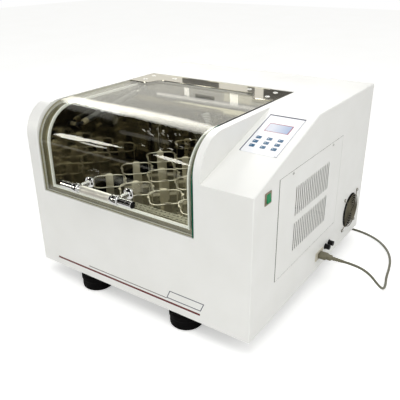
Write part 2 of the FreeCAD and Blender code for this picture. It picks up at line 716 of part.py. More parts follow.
def chamber_liner():
    """Stainless chamber, open to the lid, with the strut's stud welded to its left wall."""
    liner = chamber_space(LINER).cut(chamber_space(0))
    liner = liner.common(bend_prism(left, split, recess, LID_BEND, rear, under))
    shaft_hole = SHAFT_RADIUS + FLOOR_HOLE_GAP
    holes = [rod(shaft_hole, V(x, y, floor - 2 * LINER), V(x, y, floor + 1)) for x, y in crank_places]
    fan_hole = V(duct_fan.x, chamber_back, duct_fan.z)
    holes.append(rod(FAN_MOTOR_BOSS + SIDE_GAP, fan_hole - Y_AXIS, fan_hole + Y_AXIS * 2 * LINER))
    liner = liner.cut(holes)
    stud = rod(STRUT_PIN_RADIUS, V(chamber_left - LINER / 2, strut_start.y, strut_start.z),
               strut_start + X_AXIS * STRUT_EYE_WIDTH / 2)
    collar = rod(STRUT_PIN_RADIUS + 2.5, V(chamber_left, strut_start.y, strut_start.z),
                 strut_start - X_AXIS * (STRUT_EYE_WIDTH / 2 + SIDE_GAP))
    return fused([liner, stud, collar])


def rim_flange():
    """Stainless flange that follows the bend round the chamber's mouth."""
    band = bend_prism(left, split, recess - FLANGE, LID_BEND, rear, under)
    band = band.cut(bend_prism(left - 1, split + 1, recess, LID_BEND, rear + 1, under - 1))
    return band.common(lid_opening(0)).cut(chamber_mouth(0))


def lid_gasket():
    """Silicone seal on the flange, along the chamber's mouth."""
    outside = GLASS_INSET + GLASS + GASKET_GAP
    band = bend_prism(left, split, outside, LID_BEND, rear, under)
    band = band.cut(bend_prism(left - 1, split + 1, recess - FLANGE, LID_BEND, rear + 1, under - 1))
    return band.common(chamber_mouth(GASKET_WIDTH)).cut(chamber_mouth(0))


def insulation():
    """Packing between the chamber and the cabinet: sides, front, floor and back."""
    near = LINER + PACKING_GAP
    low = floor - near - INSULATION
    x0, x1 = chamber_left - near, chamber_right + near
    side_inset = recess + PACKING_GAP
    left_pack = bend_prism(left + SHEET + PACKING_GAP, x0, side_inset, LID_BEND, chamber_back, low)
    right_pack = bend_prism(x1, split - SHEET - PACKING_GAP, side_inset, LID_BEND, chamber_back, low)
    front_high = lid_low - LID_GAP - SHEET - PACKING_GAP
    front_pack = box(x0 + PACKING_GAP, x1 - PACKING_GAP, front + SHEET + PACKING_GAP, chamber_front - near,
                     low, front_high)
    floor_pack = box(x0 + PACKING_GAP, x1 - PACKING_GAP, chamber_front - near + PACKING_GAP, chamber_back,
                     low, floor - near)
    wells = [rod(HOUSING_RADIUS + 2, V(x, y, low - 1), V(x, y, floor)) for x, y in crank_places]
    back_pack = box(x0 + PACKING_GAP, x1 - PACKING_GAP, chamber_back + near, chamber_back + near + INSULATION,
                    low, ceiling)
    motor_well = V(duct_fan.x, chamber_back, duct_fan.z)
    motor_space = rod(FAN_MOTOR_RADIUS + PACKING_GAP, motor_well, motor_well + Y_AXIS * 3 * INSULATION)
    return Part.makeCompound([left_pack, right_pack, front_pack, floor_pack.cut(wells),
                              back_pack.cut(motor_space)])


def duct_panel():
    """Air duct cover with rolled upper and lower edges and the fan's round inlet."""
    x0, x1 = chamber_left + DUCT_SIDE_GAP, chamber_right - DUCT_SIDE_GAP
    low, high = under + DUCT_LOW, under + DUCT_HIGH
    outer = box(x0, x1, duct_front, duct_front + DUCT_FOLD, low, high)
    edges = [e for e in outer.Edges if e.CenterOfMass.y < duct_front + 1 and e.Length > x1 - x0 - 1]
    outer = outer.makeFillet(DUCT_LIP, edges)
    inner = box(x0 - 1, x1 + 1, duct_front + DUCT_SHEET, duct_front + DUCT_FOLD + 1,
                low + DUCT_SHEET, high - DUCT_SHEET)
    edges = [e for e in inner.Edges if e.CenterOfMass.y < duct_front + 2 and e.Length > x1 - x0]
    inner = inner.makeFillet(DUCT_LIP - DUCT_SHEET, edges)
    centre = V(duct_fan.x, duct_front, duct_fan.z)
    return outer.cut(inner).cut(rod(DUCT_FAN_RADIUS, centre - Y_AXIS, centre + Y_AXIS * 3))


def circulation_fan_motor():
    """Fan motor outside the chamber's back wall; its boss passes through the wall."""
    wall = V(duct_fan.x, chamber_back + LINER, duct_fan.z)
    body = rod(FAN_MOTOR_RADIUS, wall, wall + Y_AXIS * FAN_MOTOR_LENGTH)
    boss = rod(FAN_MOTOR_BOSS, wall - Y_AXIS * (LINER + 6), wall)
    bore = rod(FAN_SHAFT_RADIUS + RUNNING_GAP, wall - Y_AXIS * 20, wall + Y_AXIS * 20)
    return body.fuse(boss).cut(bore)


def circulation_fan():
    """Axial rotor and shaft behind the duct panel."""
    front_face = V(duct_fan.x, duct_front + DUCT_ROTOR_BEHIND, duct_fan.z)
    rotor = axial_rotor(DUCT_ROTOR_HUB, DUCT_FAN_RADIUS - 4, DUCT_ROTOR_DEPTH,
                        DUCT_ROTOR_BLADES, DUCT_ROTOR_TWIST)
    shaft_end = V(duct_fan.x, chamber_back + LINER + 18, duct_fan.z)
    return aimed(rotor, front_face, Y_AXIS).fuse(rod(FAN_SHAFT_RADIUS, front_face, shaft_end))


def air_heater():
    """Tubular heating ring round the fan shaft, on two legs from the chamber's back wall."""
    tube = wire_loop(HEATER_TUBE, HEATER_LOOP, V(0, 0, HEATER_STAND))
    legs = []
    for degrees in (225, 315):
        leg = wire(HEATER_TUBE, V(HEATER_LOOP, 0, 0), V(HEATER_LOOP, 0, HEATER_STAND))
        foot = rod(2 * HEATER_TUBE, V(HEATER_LOOP, 0, 0), V(HEATER_LOOP, 0, 3))
        legs += [turned(shape, V(0, 0, 0), Z_AXIS, degrees) for shape in (leg, foot)]
    return aimed(fused([tube] + legs), V(duct_fan.x, chamber_back, duct_fan.z), Y_AXIS * -1)


def temperature_probe():
    """Probe that hangs before the duct panel from a small clip."""
    x, y = chamber_left + PROBE_FROM_WALL, duct_front - PROBE_CLIP_DEPTH / 2
    low = under + PROBE_CLIP
    clip = box(x - PROBE_CLIP_DEPTH / 2, x + PROBE_CLIP_DEPTH / 2, duct_front - PROBE_CLIP_DEPTH, duct_front,
               low, low + PROBE_CLIP_HEIGHT)
    probe = rod(PROBE_RADIUS, V(x, y, under + PROBE_LOW), V(x, y, low + 2))
    return clip.fuse(probe)


# ------------------------------------------------------------------ right side

def service_panel():
    """Side cover with two groups of pressed louvres."""
    x0, x1 = right - SHEET, right
    panel = box(x0, x1, front + PANEL_FRONT + PANEL_GAP, front + PANEL_BACK - PANEL_GAP,
                under + PANEL_LOW + PANEL_GAP, under + PANEL_HIGH - PANEL_GAP)
    slots, hoods = [], []
    for low in (LOUVRE_LOW, LOUVRE_HIGH):
        for k in range(LOUVRE_COUNT):
            y = front + LOUVRE_FRONT + k * LOUVRE_PITCH
            z0, z1 = under + low, under + low + LOUVRE_LENGTH
            slots.append(box(x0 - 1, x1 + 1, y, y + LOUVRE_WIDTH, z0, z1))
            lip = [V(x1, y, z0), V(x1 + LOUVRE_HOOD, y + LOUVRE_WIDTH, z0),
                   V(x1 + LOUVRE_HOOD - LOUVRE_SHEET, y + LOUVRE_WIDTH, z0), V(x1 - SHEET / 2, y, z0),
                   V(x1 - SHEET / 2, y - LOUVRE_SHEET, z0), V(x1, y - LOUVRE_SHEET, z0)]
            hoods.append(prism(lip, V(0, 0, z1 - z0)))
    screws = [rod(SCREW_SHANK, V(x0 - 1, y, z), V(x1 + 1, y, z)) for y, z in panel_screw_places()]
    return panel.cut(slots + screws).fuse(hoods).removeSplitter()


def panel_screw_places():
    """Upper screws of the service panel, y and z."""
    z = under + PANEL_HIGH - PANEL_GAP - PANEL_LEDGE / 2
    return [(front + PANEL_FRONT + 71, z), (front + PANEL_BACK - 73, z)]


def fan_screw_places():
    """Corner screws of the side fan, y and z."""
    half = FAN_SCREW_SPACING / 2
    return [(side_fan.y + a * half, side_fan.z + b * half) for a in (-1, 1) for b in (-1, 1)]


def side_fan_frame():
    """Square fan frame with its motor cup on four struts."""
    x1 = right - SHEET
    x0 = x1 - FAN_DEPTH
    half = FAN_SIZE / 2
    frame = rounded_box(x0, x1, side_fan.y - half, side_fan.y + half, side_fan.z - half, side_fan.z + half,
                        5, X_AXIS)
    centre = V(x0, side_fan.y, side_fan.z)
    frame = frame.cut(rod(FAN_BORE, centre - X_AXIS, centre + X_AXIS * (FAN_DEPTH + 1)))
    holes = [rod(SCREW_SHANK, V(x0 - 1, y, z), V(x1 + 1, y, z)) for y, z in fan_screw_places()]
    frame = frame.cut(holes)
    cup = rod(FAN_HUB, centre, centre + X_AXIS * FAN_CUP)
    strut = box(x0, x0 + 4, side_fan.y - 3, side_fan.y + 3, side_fan.z, side_fan.z + FAN_BORE + 1)
    struts = [turned(strut, centre, X_AXIS, 90 * k + 20) for k in range(4)]
    spindle = rod(FAN_SPINDLE, centre, centre + X_AXIS * (FAN_DEPTH - 8))
    return fused([frame, cup, spindle] + struts)


def side_fan_impeller():
    """Rotor of the side fan, turning on the frame's spindle."""
    depth = FAN_DEPTH - 9
    rotor = axial_rotor(FAN_HUB - 1, FAN_BORE - FAN_TIP_GAP, depth, FAN_BLADES, FAN_TWIST)
    start = V(right - SHEET - FAN_DEPTH + FAN_CUP + SIDE_GAP, side_fan.y, side_fan.z)
    bore = rod(FAN_SPINDLE + RUNNING_GAP, start - X_AXIS, start + X_AXIS * (FAN_DEPTH - 12))
    return aimed(rotor, start, X_AXIS).cut(bore)


def fan_guards():
    """Wire guards of the side fan and of the circulation fan."""
    outside = aimed(wire_guard(FAN_BORE - 4, FAN_SCREW_SPACING), V(right, side_fan.y, side_fan.z), X_AXIS)
    inside = aimed(wire_guard(DUCT_FAN_RADIUS - 8, DUCT_GUARD_SPACING),
                   V(duct_fan.x, duct_front, duct_fan.z), Y_AXIS * -1)
    return Part.makeCompound([outside, inside])


def cabinet_screws():
    """Screws of the service panel, the side fan and the back cover."""
    screws = [screw(V(right, y, z), X_AXIS, 2 * SHEET) for y, z in panel_screw_places()]
    screws += [screw(V(right + EAR, y, z), X_AXIS, 12) for y, z in fan_screw_places()]
    screws += [screw(V(x, rear, z), Y_AXIS, 2 * SHEET) for x, z in rear_screw_places()]
    return Part.makeCompound(screws)


def power_inlet():
    """Chassis inlet: flange, body and open socket."""
    flange = side_block(inlet, INLET_WIDTH, INLET_HEIGHT, 0, INLET_FLANGE)
    body = side_block(inlet, INLET_BODY_WIDTH, INLET_BODY_HEIGHT, -INLET_DEPTH, 0)
    socket = side_block(inlet, SOCKET_WIDTH, SOCKET_HEIGHT, INLET_FLANGE - SOCKET_DEPTH, INLET_FLANGE + 1)
    return flange.fuse(body).cut(socket)


def fuse_holders():
    """Two screw-cap fuse holders with ribbed caps."""
    holders = []
    for y in (FUSE_FRONT_Y, FUSE_BACK_Y):
        face = V(right, front + y, under + FUSE_Z)
        collar = rod(FUSE_RADIUS + FUSE_COLLAR, face, face + X_AXIS * 2)
        cap = rod(FUSE_RADIUS, face, face + X_AXIS * FUSE_LENGTH)
        slot = box(face.x + FUSE_LENGTH - 1.5, face.x + FUSE_LENGTH + 1, face.y - 1, face.y + 1,
                   face.z - FUSE_RADIUS, face.z + FUSE_RADIUS)
        body = rod(FUSE_BODY_RADIUS, face - X_AXIS * FUSE_BODY_LENGTH, face)
        nut = wire(FUSE_RADIUS + FUSE_COLLAR, face - X_AXIS * (SHEET + 3), face - X_AXIS * SHEET)
        holders.append(fused([collar, cap, body, nut]).cut(slot))
    return Part.makeCompound(holders)


def switch_bezel():
    """Frame and housing of the rocker switch, with the rocker's bearing holes."""
    frame = side_block(switch, BEZEL_WIDTH, BEZEL_HEIGHT, 0, BEZEL)
    body = side_block(switch, BEZEL_BODY_WIDTH, BEZEL_BODY_HEIGHT, -BEZEL_BODY_DEPTH, 0)
    cavity = side_block(switch, BEZEL_BODY_WIDTH - 2 * BEZEL_WALL, BEZEL_BODY_HEIGHT - 2 * BEZEL_WALL,
                        BEZEL_WALL - BEZEL_BODY_DEPTH, BEZEL + 1)
    bore = rod(2 + RUNNING_GAP, switch - Y_AXIS * BEZEL_BODY_WIDTH, switch + Y_AXIS * BEZEL_BODY_WIDTH)
    trim = side_block(switch, BEZEL_BODY_WIDTH, BEZEL_BODY_HEIGHT, -BEZEL_BODY_DEPTH, BEZEL)
    return frame.fuse(body).cut(cavity).cut(bore.common(trim))


def power_rocker():
    """Rocker with a hollow face, resting with its upper half pressed."""
    wide = BEZEL_BODY_WIDTH / 2 - BEZEL_WALL - SIDE_GAP
    high = BEZEL_BODY_HEIGHT / 2 - BEZEL_WALL - 1.2
    tilt = math.tan(math.radians(ROCKER_TILT))
    outline = [V(switch.x - 5, 0, -high * 0.55), V(switch.x + ROCKER_PROUD - high * 0.1, 0, -high),
               V(switch.x + ROCKER_PROUD - high * tilt, 0, 0), V(switch.x + ROCKER_PROUD - high * 0.1, 0, high),
               V(switch.x - 5, 0, high * 0.55)]
    body = prism(outline, Y_AXIS * (2 * wide)).translated(V(0, switch.y - wide, switch.z))
    axle = rod(2, switch - Y_AXIS * (BEZEL_BODY_WIDTH / 2 - 0.1), switch + Y_AXIS * (BEZEL_BODY_WIDTH / 2 - 0.1))
    return turned(body.fuse(axle), switch, Y_AXIS, -ROCKER_TILT)


# ------------------------------------------------------------------ keypad

def keypad_plate():
    """Thin front plate with openings for the keys and the window."""
    half = KEYPAD_WIDTH / 2
    plate = rounded_box(keypad_x - half, keypad_x + half, KEYPAD_START, KEYPAD_START + KEYPAD_LENGTH,
                        0, KEYPAD_PLATE, 3, Z_AXIS)
    holes = [key_block(x, up, KEY_GAP, -1, KEYPAD_PLATE + 1) for x, up in key_places()]
    return on_slope(plate.cut(holes).cut(display_block(WINDOW_GAP, -1, KEYPAD_PLATE + 1)))


def display_window():
    """Clear window in the keypad plate, resting on the sheet's ledge."""
    return on_slope(display_block(0, 0, KEYPAD_PLATE))


def key(x, up):
    """One key with its stem."""
    return on_slope(key_block(x, up, 0, -SHEET - KEY_BELOW, KEYPAD_PLATE + KEY_PROUD))


def control_electronics():
    """Keypad board with switches and display module, main board and power supply."""
    half = KEYPAD_WIDTH / 2 - 4
    board_top = -BOARD_DROP
    length = KEYPAD_LENGTH - 16
    start = KEYPAD_START + 8
    shapes = [box(keypad_x - half, keypad_x + half, start, start + length, board_top - BOARD, board_top)]
    for x in (keypad_x - half + 5, keypad_x + half - 5):
        for up in (start + 5, start + length - 5):
            shapes.append(wire(3, V(x, up, board_top), V(x, up, -SHEET)))
    switch_top = -SHEET - KEY_BELOW - KEY_TRAVEL - 0.1
    half = SWITCH_SIZE / 2
    shapes += [box(x - half, x + half, up - half, up + half, board_top, switch_top) for x, up in key_places()]
    shapes.append(display_block(1, board_top, -SHEET - SIDE_GAP))
    keypad_board = on_slope(fused(shapes))
    x0, x1 = split + 12, right - 14
    y1 = rear - BOARD_FROM_REAR
    y0 = y1 - MAIN_BOARD_LENGTH
    low = inner_base + STANDOFF
    main = [box(x0, x1, y0, y1, low, low + BOARD)]
    for x in (x0 + 6, x1 - 6):
        for y in (y0 + 6, y1 - 6):
            main.append(wire(3, V(x, y, inner_base), V(x, y, low)))
    main.append(box(x0 + 15, x0 + 55, y0 + 20, y0 + 70, low, low + 24))
    main.append(box(x0 + 15, x0 + 50, y0 + 90, y0 + 120, low, low + 18))
    supply_y = front + SUPPLY_FROM_FRONT
    supply = box(x0, x1, supply_y, supply_y + SUPPLY_LENGTH, inner_base, inner_base + SUPPLY_HEIGHT)
    return Part.makeCompound([keypad_board, fused(main), supply])


# ------------------------------------------------------------------ lid

def strip_screw_places():
    """Screws of the polished strip, x and y, mirrored about the lid's middle."""
    y = lid_back - 24
    return [(lid_left + 30, y), (lid_left + 115, y), (lid_right - 40, y), (lid_right - 125, y),
            (lid_left + 37, lid_back - 76), (lid_right - 38, lid_back - 76)]


def post_places():
    """X of the two handle posts."""
    middle = handle_x
    return [middle - POST_SPACING / 2, middle + POST_SPACING / 2]


def lid_glass():
    """Bent glass sheet with the screw and handle holes."""
    glass = bend_prism(lid_left, lid_right, GLASS_INSET, LID_BEND, lid_back, lid_low)
    glass = glass.cut(bend_prism(lid_left - 1, lid_right + 1, GLASS_INSET + GLASS, LID_BEND,
                                 lid_back + 1, lid_low - 1))
    holes = [rod(SCREW_SHANK + 0.6, V(x, y, top - 12), V(x, y, top)) for x, y in strip_screw_places()]
    z = under + HANDLE_Z
    holes += [rod(POST_HOLE, V(x, front, z), V(x, front + 12, z)) for x in post_places()]
    return glass.cut(holes)


def hinge_spans():
    """Start and end of each hinge knuckle along X; even ones belong to the lid."""
    width = (lid_right - lid_left) / KNUCKLES
    return [(lid_left + k * width, lid_left + (k + 1) * width) for k in range(KNUCKLES)]


def strip_outline():
    """Plan of the polished strip: wide ends that run into the middle by S-shaped steps."""
    z = top - GLASS_INSET
    y_back, y_mid, y_wide = hinge_y, lid_back - STRIP_NARROW, lid_back - STRIP_WIDE
    a, b = lid_left + STRIP_END, lid_left + STRIP_END + STRIP_BLEND
    c, d = lid_right - STRIP_END - STRIP_BLEND, lid_right - STRIP_END
    left_step = Part.BSplineCurve()
    left_step.interpolate([V(a, y_wide, z), V((a + b) / 2, (y_mid + y_wide) / 2, z), V(b, y_mid, z)],
                          InitialTangent=V(30, 0, 0), FinalTangent=V(30, 0, 0))
    right_step = Part.BSplineCurve()
    right_step.interpolate([V(c, y_mid, z), V((c + d) / 2, (y_mid + y_wide) / 2, z), V(d, y_wide, z)],
                           InitialTangent=V(30, 0, 0), FinalTangent=V(30, 0, 0))
    lines = [(V(lid_left, y_wide, z), V(a, y_wide, z)), (V(b, y_mid, z), V(c, y_mid, z)),
             (V(d, y_wide, z), V(lid_right, y_wide, z)), (V(lid_right, y_wide, z), V(lid_right, y_back, z)),
             (V(lid_right, y_back, z), V(lid_left, y_back, z)), (V(lid_left, y_back, z), V(lid_left, y_wide, z))]
    edges = [Part.LineSegment(p, q).toShape() for p, q in lines]
    edges += [left_step.toShape(), right_step.toShape()]
    return Part.Face(Part.Wire(Part.__sortEdges__(edges)))


def lid_hinge_strip():
    """Polished strip on the glass, rolled into the lid's hinge knuckles."""
    strip = strip_outline().extrude(V(0, 0, STRIP))
    keep, room = [], []
    for k, (x0, x1) in enumerate(hinge_spans()):
        start, end = V(x0, hinge_y, hinge_z), V(x1, hinge_y, hinge_z)
        if k % 2 == 0:
            shift = X_AXIS * SIDE_GAP
            first = start if k == 0 else start + shift
            last = end if k == KNUCKLES - 1 else end - shift
            keep.append(rod(KNUCKLE_RADIUS, first, last))
        else:
            room.append(box(x0, x1, hinge_y - KNUCKLE_RADIUS - 1, hinge_y + 10, hinge_z - 10, top + 1))
    bore = rod(HINGE_PIN_RADIUS + RUNNING_GAP, V(lid_left - 1, hinge_y, hinge_z),
               V(lid_right + 1, hinge_y, hinge_z))
    holes = [rod(SCREW_SHANK + 0.2, V(x, y, top - 10), V(x, y, top + 1)) for x, y in strip_screw_places()]
    return fused([strip.cut(room)] + keep).cut([bore] + holes)


def lid_hinge():
    """Fixed hinge leaf on the collar's back wall, and the pin."""
    leaf = box(lid_left, lid_right, opening_back - HINGE_LEAF, opening_back,
               hinge_z - HINGE_LEAF_HEIGHT + KNUCKLE_RADIUS, hinge_z)
    leaf = leaf.common(box(left, right, front, rear, top - recess + FLANGE, top))
    knuckles, bores = [], []
    for k, (x0, x1) in enumerate(hinge_spans()):
        start, end = V(x0, hinge_y, hinge_z), V(x1, hinge_y, hinge_z)
        if k % 2 == 1:
            knuckles.append(rod(KNUCKLE_RADIUS, start, end))
            knuckles.append(box(x0, x1, hinge_y, opening_back - HINGE_LEAF, hinge_z - KNUCKLE_RADIUS,
                                hinge_z - KNUCKLE_RADIUS + HINGE_LEAF))
            bores.append(rod(HINGE_PIN_RADIUS, start, end))
    pin = rod(HINGE_PIN_RADIUS, V(lid_left + 1, hinge_y, hinge_z), V(lid_right - 1, hinge_y, hinge_z))
    return Part.makeCompound([fused([leaf] + knuckles).cut(bores), pin])


def strip_screws():
    """Screws and nuts that clamp the strip to the glass, and the strut's bracket under one nut."""
    screws = []
    for k, (x, y) in enumerate(strip_screw_places()):
        grip = GLASS + (STRUT_BRACKET if k == BRACKET_SCREW else 0)
        head = screw(V(x, y, top - GLASS_INSET + STRIP), Z_AXIS, STRIP + grip + STRIP_NUT_HEIGHT)
        seat = V(x, y, top - GLASS_INSET - grip)
        screws.append(head.fuse(wire(STRIP_NUT_RADIUS, seat - Z_AXIS * STRIP_NUT_HEIGHT, seat)))
    return Part.makeCompound(screws)


def handle_bar():
    """Chromed cross bar."""
    y, z = front + GLASS_INSET - HANDLE_REACH, under + HANDLE_Z
    half = HANDLE_LENGTH / 2 - END_CAP
    middle = handle_x
    bar = rod(HANDLE_RADIUS, V(middle - half, y, z), V(middle + half, y, z))
    inner = SLEEVE_LENGTH / 2
    groove = ring(HANDLE_RADIUS + 1, HANDLE_RADIUS - SLEEVE_WALL / 2, V(middle - inner, y, z),
                  V(middle + inner, y, z))
    return bar.cut(groove)


def handle_sleeve():
    """Grip sleeve round the middle of the bar."""
    y, z = front + GLASS_INSET - HANDLE_REACH, under + HANDLE_Z
    middle, half = handle_x, SLEEVE_LENGTH / 2
    start, end = V(middle - half, y, z), V(middle + half, y, z)
    return ring(HANDLE_RADIUS + SLEEVE_WALL / 2, HANDLE_RADIUS - SLEEVE_WALL / 2, start, end)


def handle_end_caps():
    """Dark plugs in the ends of the bar."""
    y, z = front + GLASS_INSET - HANDLE_REACH, under + HANDLE_Z
    caps = []
    for side in (-1, 1):
        inner = V(handle_x + side * (HANDLE_LENGTH / 2 - END_CAP), y, z)
        out = X_AXIS * side
        cap = rod(HANDLE_RADIUS - 0.4, inner, inner + out * (END_CAP - END_CAP_TAPER))
        dome = Part.makeCone(HANDLE_RADIUS - 0.4, HANDLE_RADIUS - 2 * END_CAP_TAPER, END_CAP_TAPER,
                             inner + out * (END_CAP - END_CAP_TAPER), out)
        caps.append(cap.fuse(dome))
    return Part.makeCompound(caps)


def handle_posts():
    """Two posts with a rosette before the glass and a nut behind it."""
    y_bar, z = front + GLASS_INSET - HANDLE_REACH, under + HANDLE_Z
    y_glass = front + GLASS_INSET
    y_inner = y_glass + GLASS
    posts = []
    for x in post_places():
        rosette = rod(ROSETTE_RADIUS, V(x, y_glass - ROSETTE / 2, z), V(x, y_glass, z))
        taper = Part.makeCone(ROSETTE_RADIUS, ROSETTE_RADIUS - ROSETTE / 2, ROSETTE / 2,
                              V(x, y_glass - ROSETTE / 2, z), Y_AXIS * -1)
        post = rod(POST_RADIUS, V(x, y_bar, z), V(x, y_glass, z))
        saddle = rod(HANDLE_RADIUS + SADDLE, V(x - SADDLE_HALF, y_bar, z), V(x + SADDLE_HALF, y_bar, z))
        stud = rod(POST_STUD, V(x, y_glass, z), V(x, y_inner, z))
        nut = wire(POST_NUT_RADIUS, V(x, y_inner, z), V(x, y_inner + POST_NUT, z))
        whole = fused([rosette, taper, post, saddle, stud, nut])
        posts.append(whole.cut(rod(HANDLE_RADIUS, V(x - 20, y_bar, z), V(x + 20, y_bar, z))))
    return Part.makeCompound(posts)


def strut_lid_bracket():
    """Angle under the glass with the strut's rear stud."""
    glass_low = top - GLASS_INSET - GLASS
    stud_x = strut_end.x - STRUT_EYE_WIDTH / 2 - SIDE_GAP
    x1 = stud_x - 1.5
    screw_x, screw_y = strip_screw_places()[BRACKET_SCREW]
    foot = box(screw_x - 5, x1, strut_end.y - 12, screw_y + 9, glass_low - STRUT_BRACKET, glass_low)
    foot = foot.cut(rod(SCREW_SHANK + 0.2, V(screw_x, screw_y, glass_low - 5), V(screw_x, screw_y, glass_low + 1)))
    ear = box(x1 - STRUT_BRACKET, x1, strut_end.y - 8, strut_end.y + 8, strut_end.z - 7, glass_low)
    stud = rod(STRUT_PIN_RADIUS, V(x1 - STRUT_BRACKET, strut_end.y, strut_end.z),
               V(stud_x, strut_end.y, strut_end.z))
    return fused([foot, ear, stud])


# ------------------------------------------------------------------ gas strut

def along_strut(distance):
    """Point on the strut's axis at a distance from the front pivot."""
    return strut_start + strut_direction * distance


def strut_cylinder():
    """Pressure tube with its end fitting and the eye on the chamber's stud."""
    fitting_start = along_strut(STRUT_NECK)
    fitting_end = along_strut(STRUT_NECK + STRUT_FITTING)
    tube = ring(CYLINDER_RADIUS, ROD_RADIUS + RUNNING_GAP, fitting_end, along_strut(CYLINDER_END))
    fitting = rod(CYLINDER_RADIUS + 1, fitting_start, fitting_end)
    neck = rod(STRUT_NECK_RADIUS, along_strut(STRUT_NECK_START), fitting_start)
    half = X_AXIS * STRUT_EYE_WIDTH / 2
    eye = rod(STRUT_EYE_RADIUS, strut_start - half, strut_start + half)
    bore = rod(STRUT_PIN_RADIUS + RUNNING_GAP, strut_start - half * 2, strut_start + half * 2)
    return fused([tube, fitting, neck, eye]).cut(bore)


def strut_rod():
    """Piston rod with its piston end inside the tube and its rear eye."""
    tip = (strut_end - strut_start).Length - STRUT_NECK_START
    shaft = rod(ROD_RADIUS, along_strut(tip - ROD_LENGTH), along_strut(tip))
    half = X_AXIS * STRUT_EYE_WIDTH / 2
    neck = rod(STRUT_NECK_RADIUS, along_strut(tip - ROD_NECK), along_strut(tip))
    eye = rod(STRUT_EYE_RADIUS, strut_end - half, strut_end + half)
    return fused([shaft, neck, eye])


# ------------------------------------------------------------------ drive

def drive_frame():
    """Bearing plate with three bored housings on four stand-offs, and the bearings."""
    x0, y0 = drive_x - plate_width / 2, drive_middle_y - PLATE_DEPTH / 2
    plate = box(x0, x0 + plate_width, y0, y0 + PLATE_DEPTH, plate_low, plate_low + BEARING_PLATE)
    housings, bores, bearings = [], [], []
    for x, y in crank_places:
        low, high = V(x, y, housing_low), V(x, y, housing_low + HOUSING_LENGTH)
        housings.append(rod(HOUSING_RADIUS, low, high))
        bores.append(rod(SHAFT_RADIUS + BEARING_WALL, low, high))
        bearings.append(ring(SHAFT_RADIUS + BEARING_WALL, SHAFT_RADIUS + RUNNING_GAP, low, high))
    standoffs = []
    for x in (x0 + STANDOFF_INSET, x0 + plate_width - STANDOFF_INSET):
        for y in (y0 + STANDOFF_INSET, y0 + PLATE_DEPTH - STANDOFF_INSET):
            standoffs.append(wire(STANDOFF_RADIUS, V(x, y, inner_base), V(x, y, plate_low)))
    motor_space = rod(MOTOR_RADIUS, V(motor_x, drive_y, plate_low - 1), V(motor_x, drive_y, plate_low + 20))
    body = fused([plate.cut(motor_space)] + housings).cut(bores)
    return Part.makeCompound([body] + bearings + standoffs)


def pulley(radius, x, y):
    """Belt pulley with two flanges."""
    low, high = V(x, y, pulley_low), V(x, y, pulley_high)
    rim = radius + PULLEY_RIM
    flanges = [rod(rim, low, low + Z_AXIS * PULLEY_FLANGE), rod(rim, high - Z_AXIS * PULLEY_FLANGE, high)]
    return fused([rod(radius, low, high)] + flanges)


def crank(x, y, low):
    """Crank about a vertical shaft, its pin standing at the throw towards +X."""
    shaft = rod(SHAFT_RADIUS, V(x, y, low), V(x, y, web_low))
    web = rod(CRANK_WEB_RADIUS, V(x, y, web_low), V(x, y, web_high))
    pin = rod(CRANK_PIN_RADIUS, V(x + ORBIT, y, web_high), V(x + ORBIT, y, frame_low - 1))
    return fused([shaft, web, pin])


def drive_crank():
    """Driven crank with its counterweight and belt pulley."""
    body = crank(drive_x, drive_y, pulley_low - 2)
    weight = rod(COUNTERWEIGHT_RADIUS, V(drive_x, drive_y, web_low), V(drive_x, drive_y, web_high))
    weight = weight.cut(box(drive_x - 8, drive_x + 100, drive_y - 100, drive_y + 100, 0, top))
    bore = rod(SHAFT_RADIUS, V(drive_x, drive_y, under), V(drive_x, drive_y, top))
    return Part.makeCompound([fused([body, weight]), pulley(PULLEY_RADIUS, drive_x, drive_y).cut(bore)])


def idler_crank(x):
    """Idler crank that keeps the platform level and parallel."""
    return crank(x, idler_y, housing_low - 2)


def drive_motor():
    """Drive motor on the base pan, its boss bored for the shaft."""
    low = V(motor_x, drive_y, inner_base)
    high = V(motor_x, drive_y, motor_top)
    body = rod(MOTOR_RADIUS, low, high)
    boss = rod(13, high, high + Z_AXIS * MOTOR_BOSS)
    bore = rod(MOTOR_SHAFT_RADIUS + RUNNING_GAP, high - Z_AXIS * 20, high + Z_AXIS * 20)
    return body.fuse(boss).cut(bore)


def motor_pulley():
    """Small pulley on the motor shaft."""
    shaft = rod(MOTOR_SHAFT_RADIUS, V(motor_x, drive_y, motor_top - 18), V(motor_x, drive_y, pulley_high))
    return fused([pulley(MOTOR_PULLEY_RADIUS, motor_x, drive_y), shaft])


def belt_prism(grow, low, high):
    """Prism round both pulleys, grown from their running faces."""
    big, small = PULLEY_RADIUS + grow, MOTOR_PULLEY_RADIUS + grow
    lean = math.acos((big - small) / MOTOR_OFFSET)
    points = []
    for x, radius, side in ((drive_x, big, 1), (motor_x, small, 1), (motor_x, small, -1), (drive_x, big, -1)):
        points.append(V(x + radius * math.cos(lean), drive_y + side * radius * math.sin(lean), low))
    span = V(0, 0, high - low)
    ends = [rod(big, V(drive_x, drive_y, low), V(drive_x, drive_y, high)),
            rod(small, V(motor_x, drive_y, low), V(motor_x, drive_y, high))]
    return fused([prism(points, span)] + ends)


def drive_belt():
    """Flat belt round the two pulleys."""
    low, high = pulley_low + PULLEY_FLANGE + BELT_GAP, pulley_high - PULLEY_FLANGE - BELT_GAP
    return belt_prism(BELT_GAP + BELT, low, high).cut(belt_prism(BELT_GAP, low - 1, high + 1))


# ------------------------------------------------------------------ platform

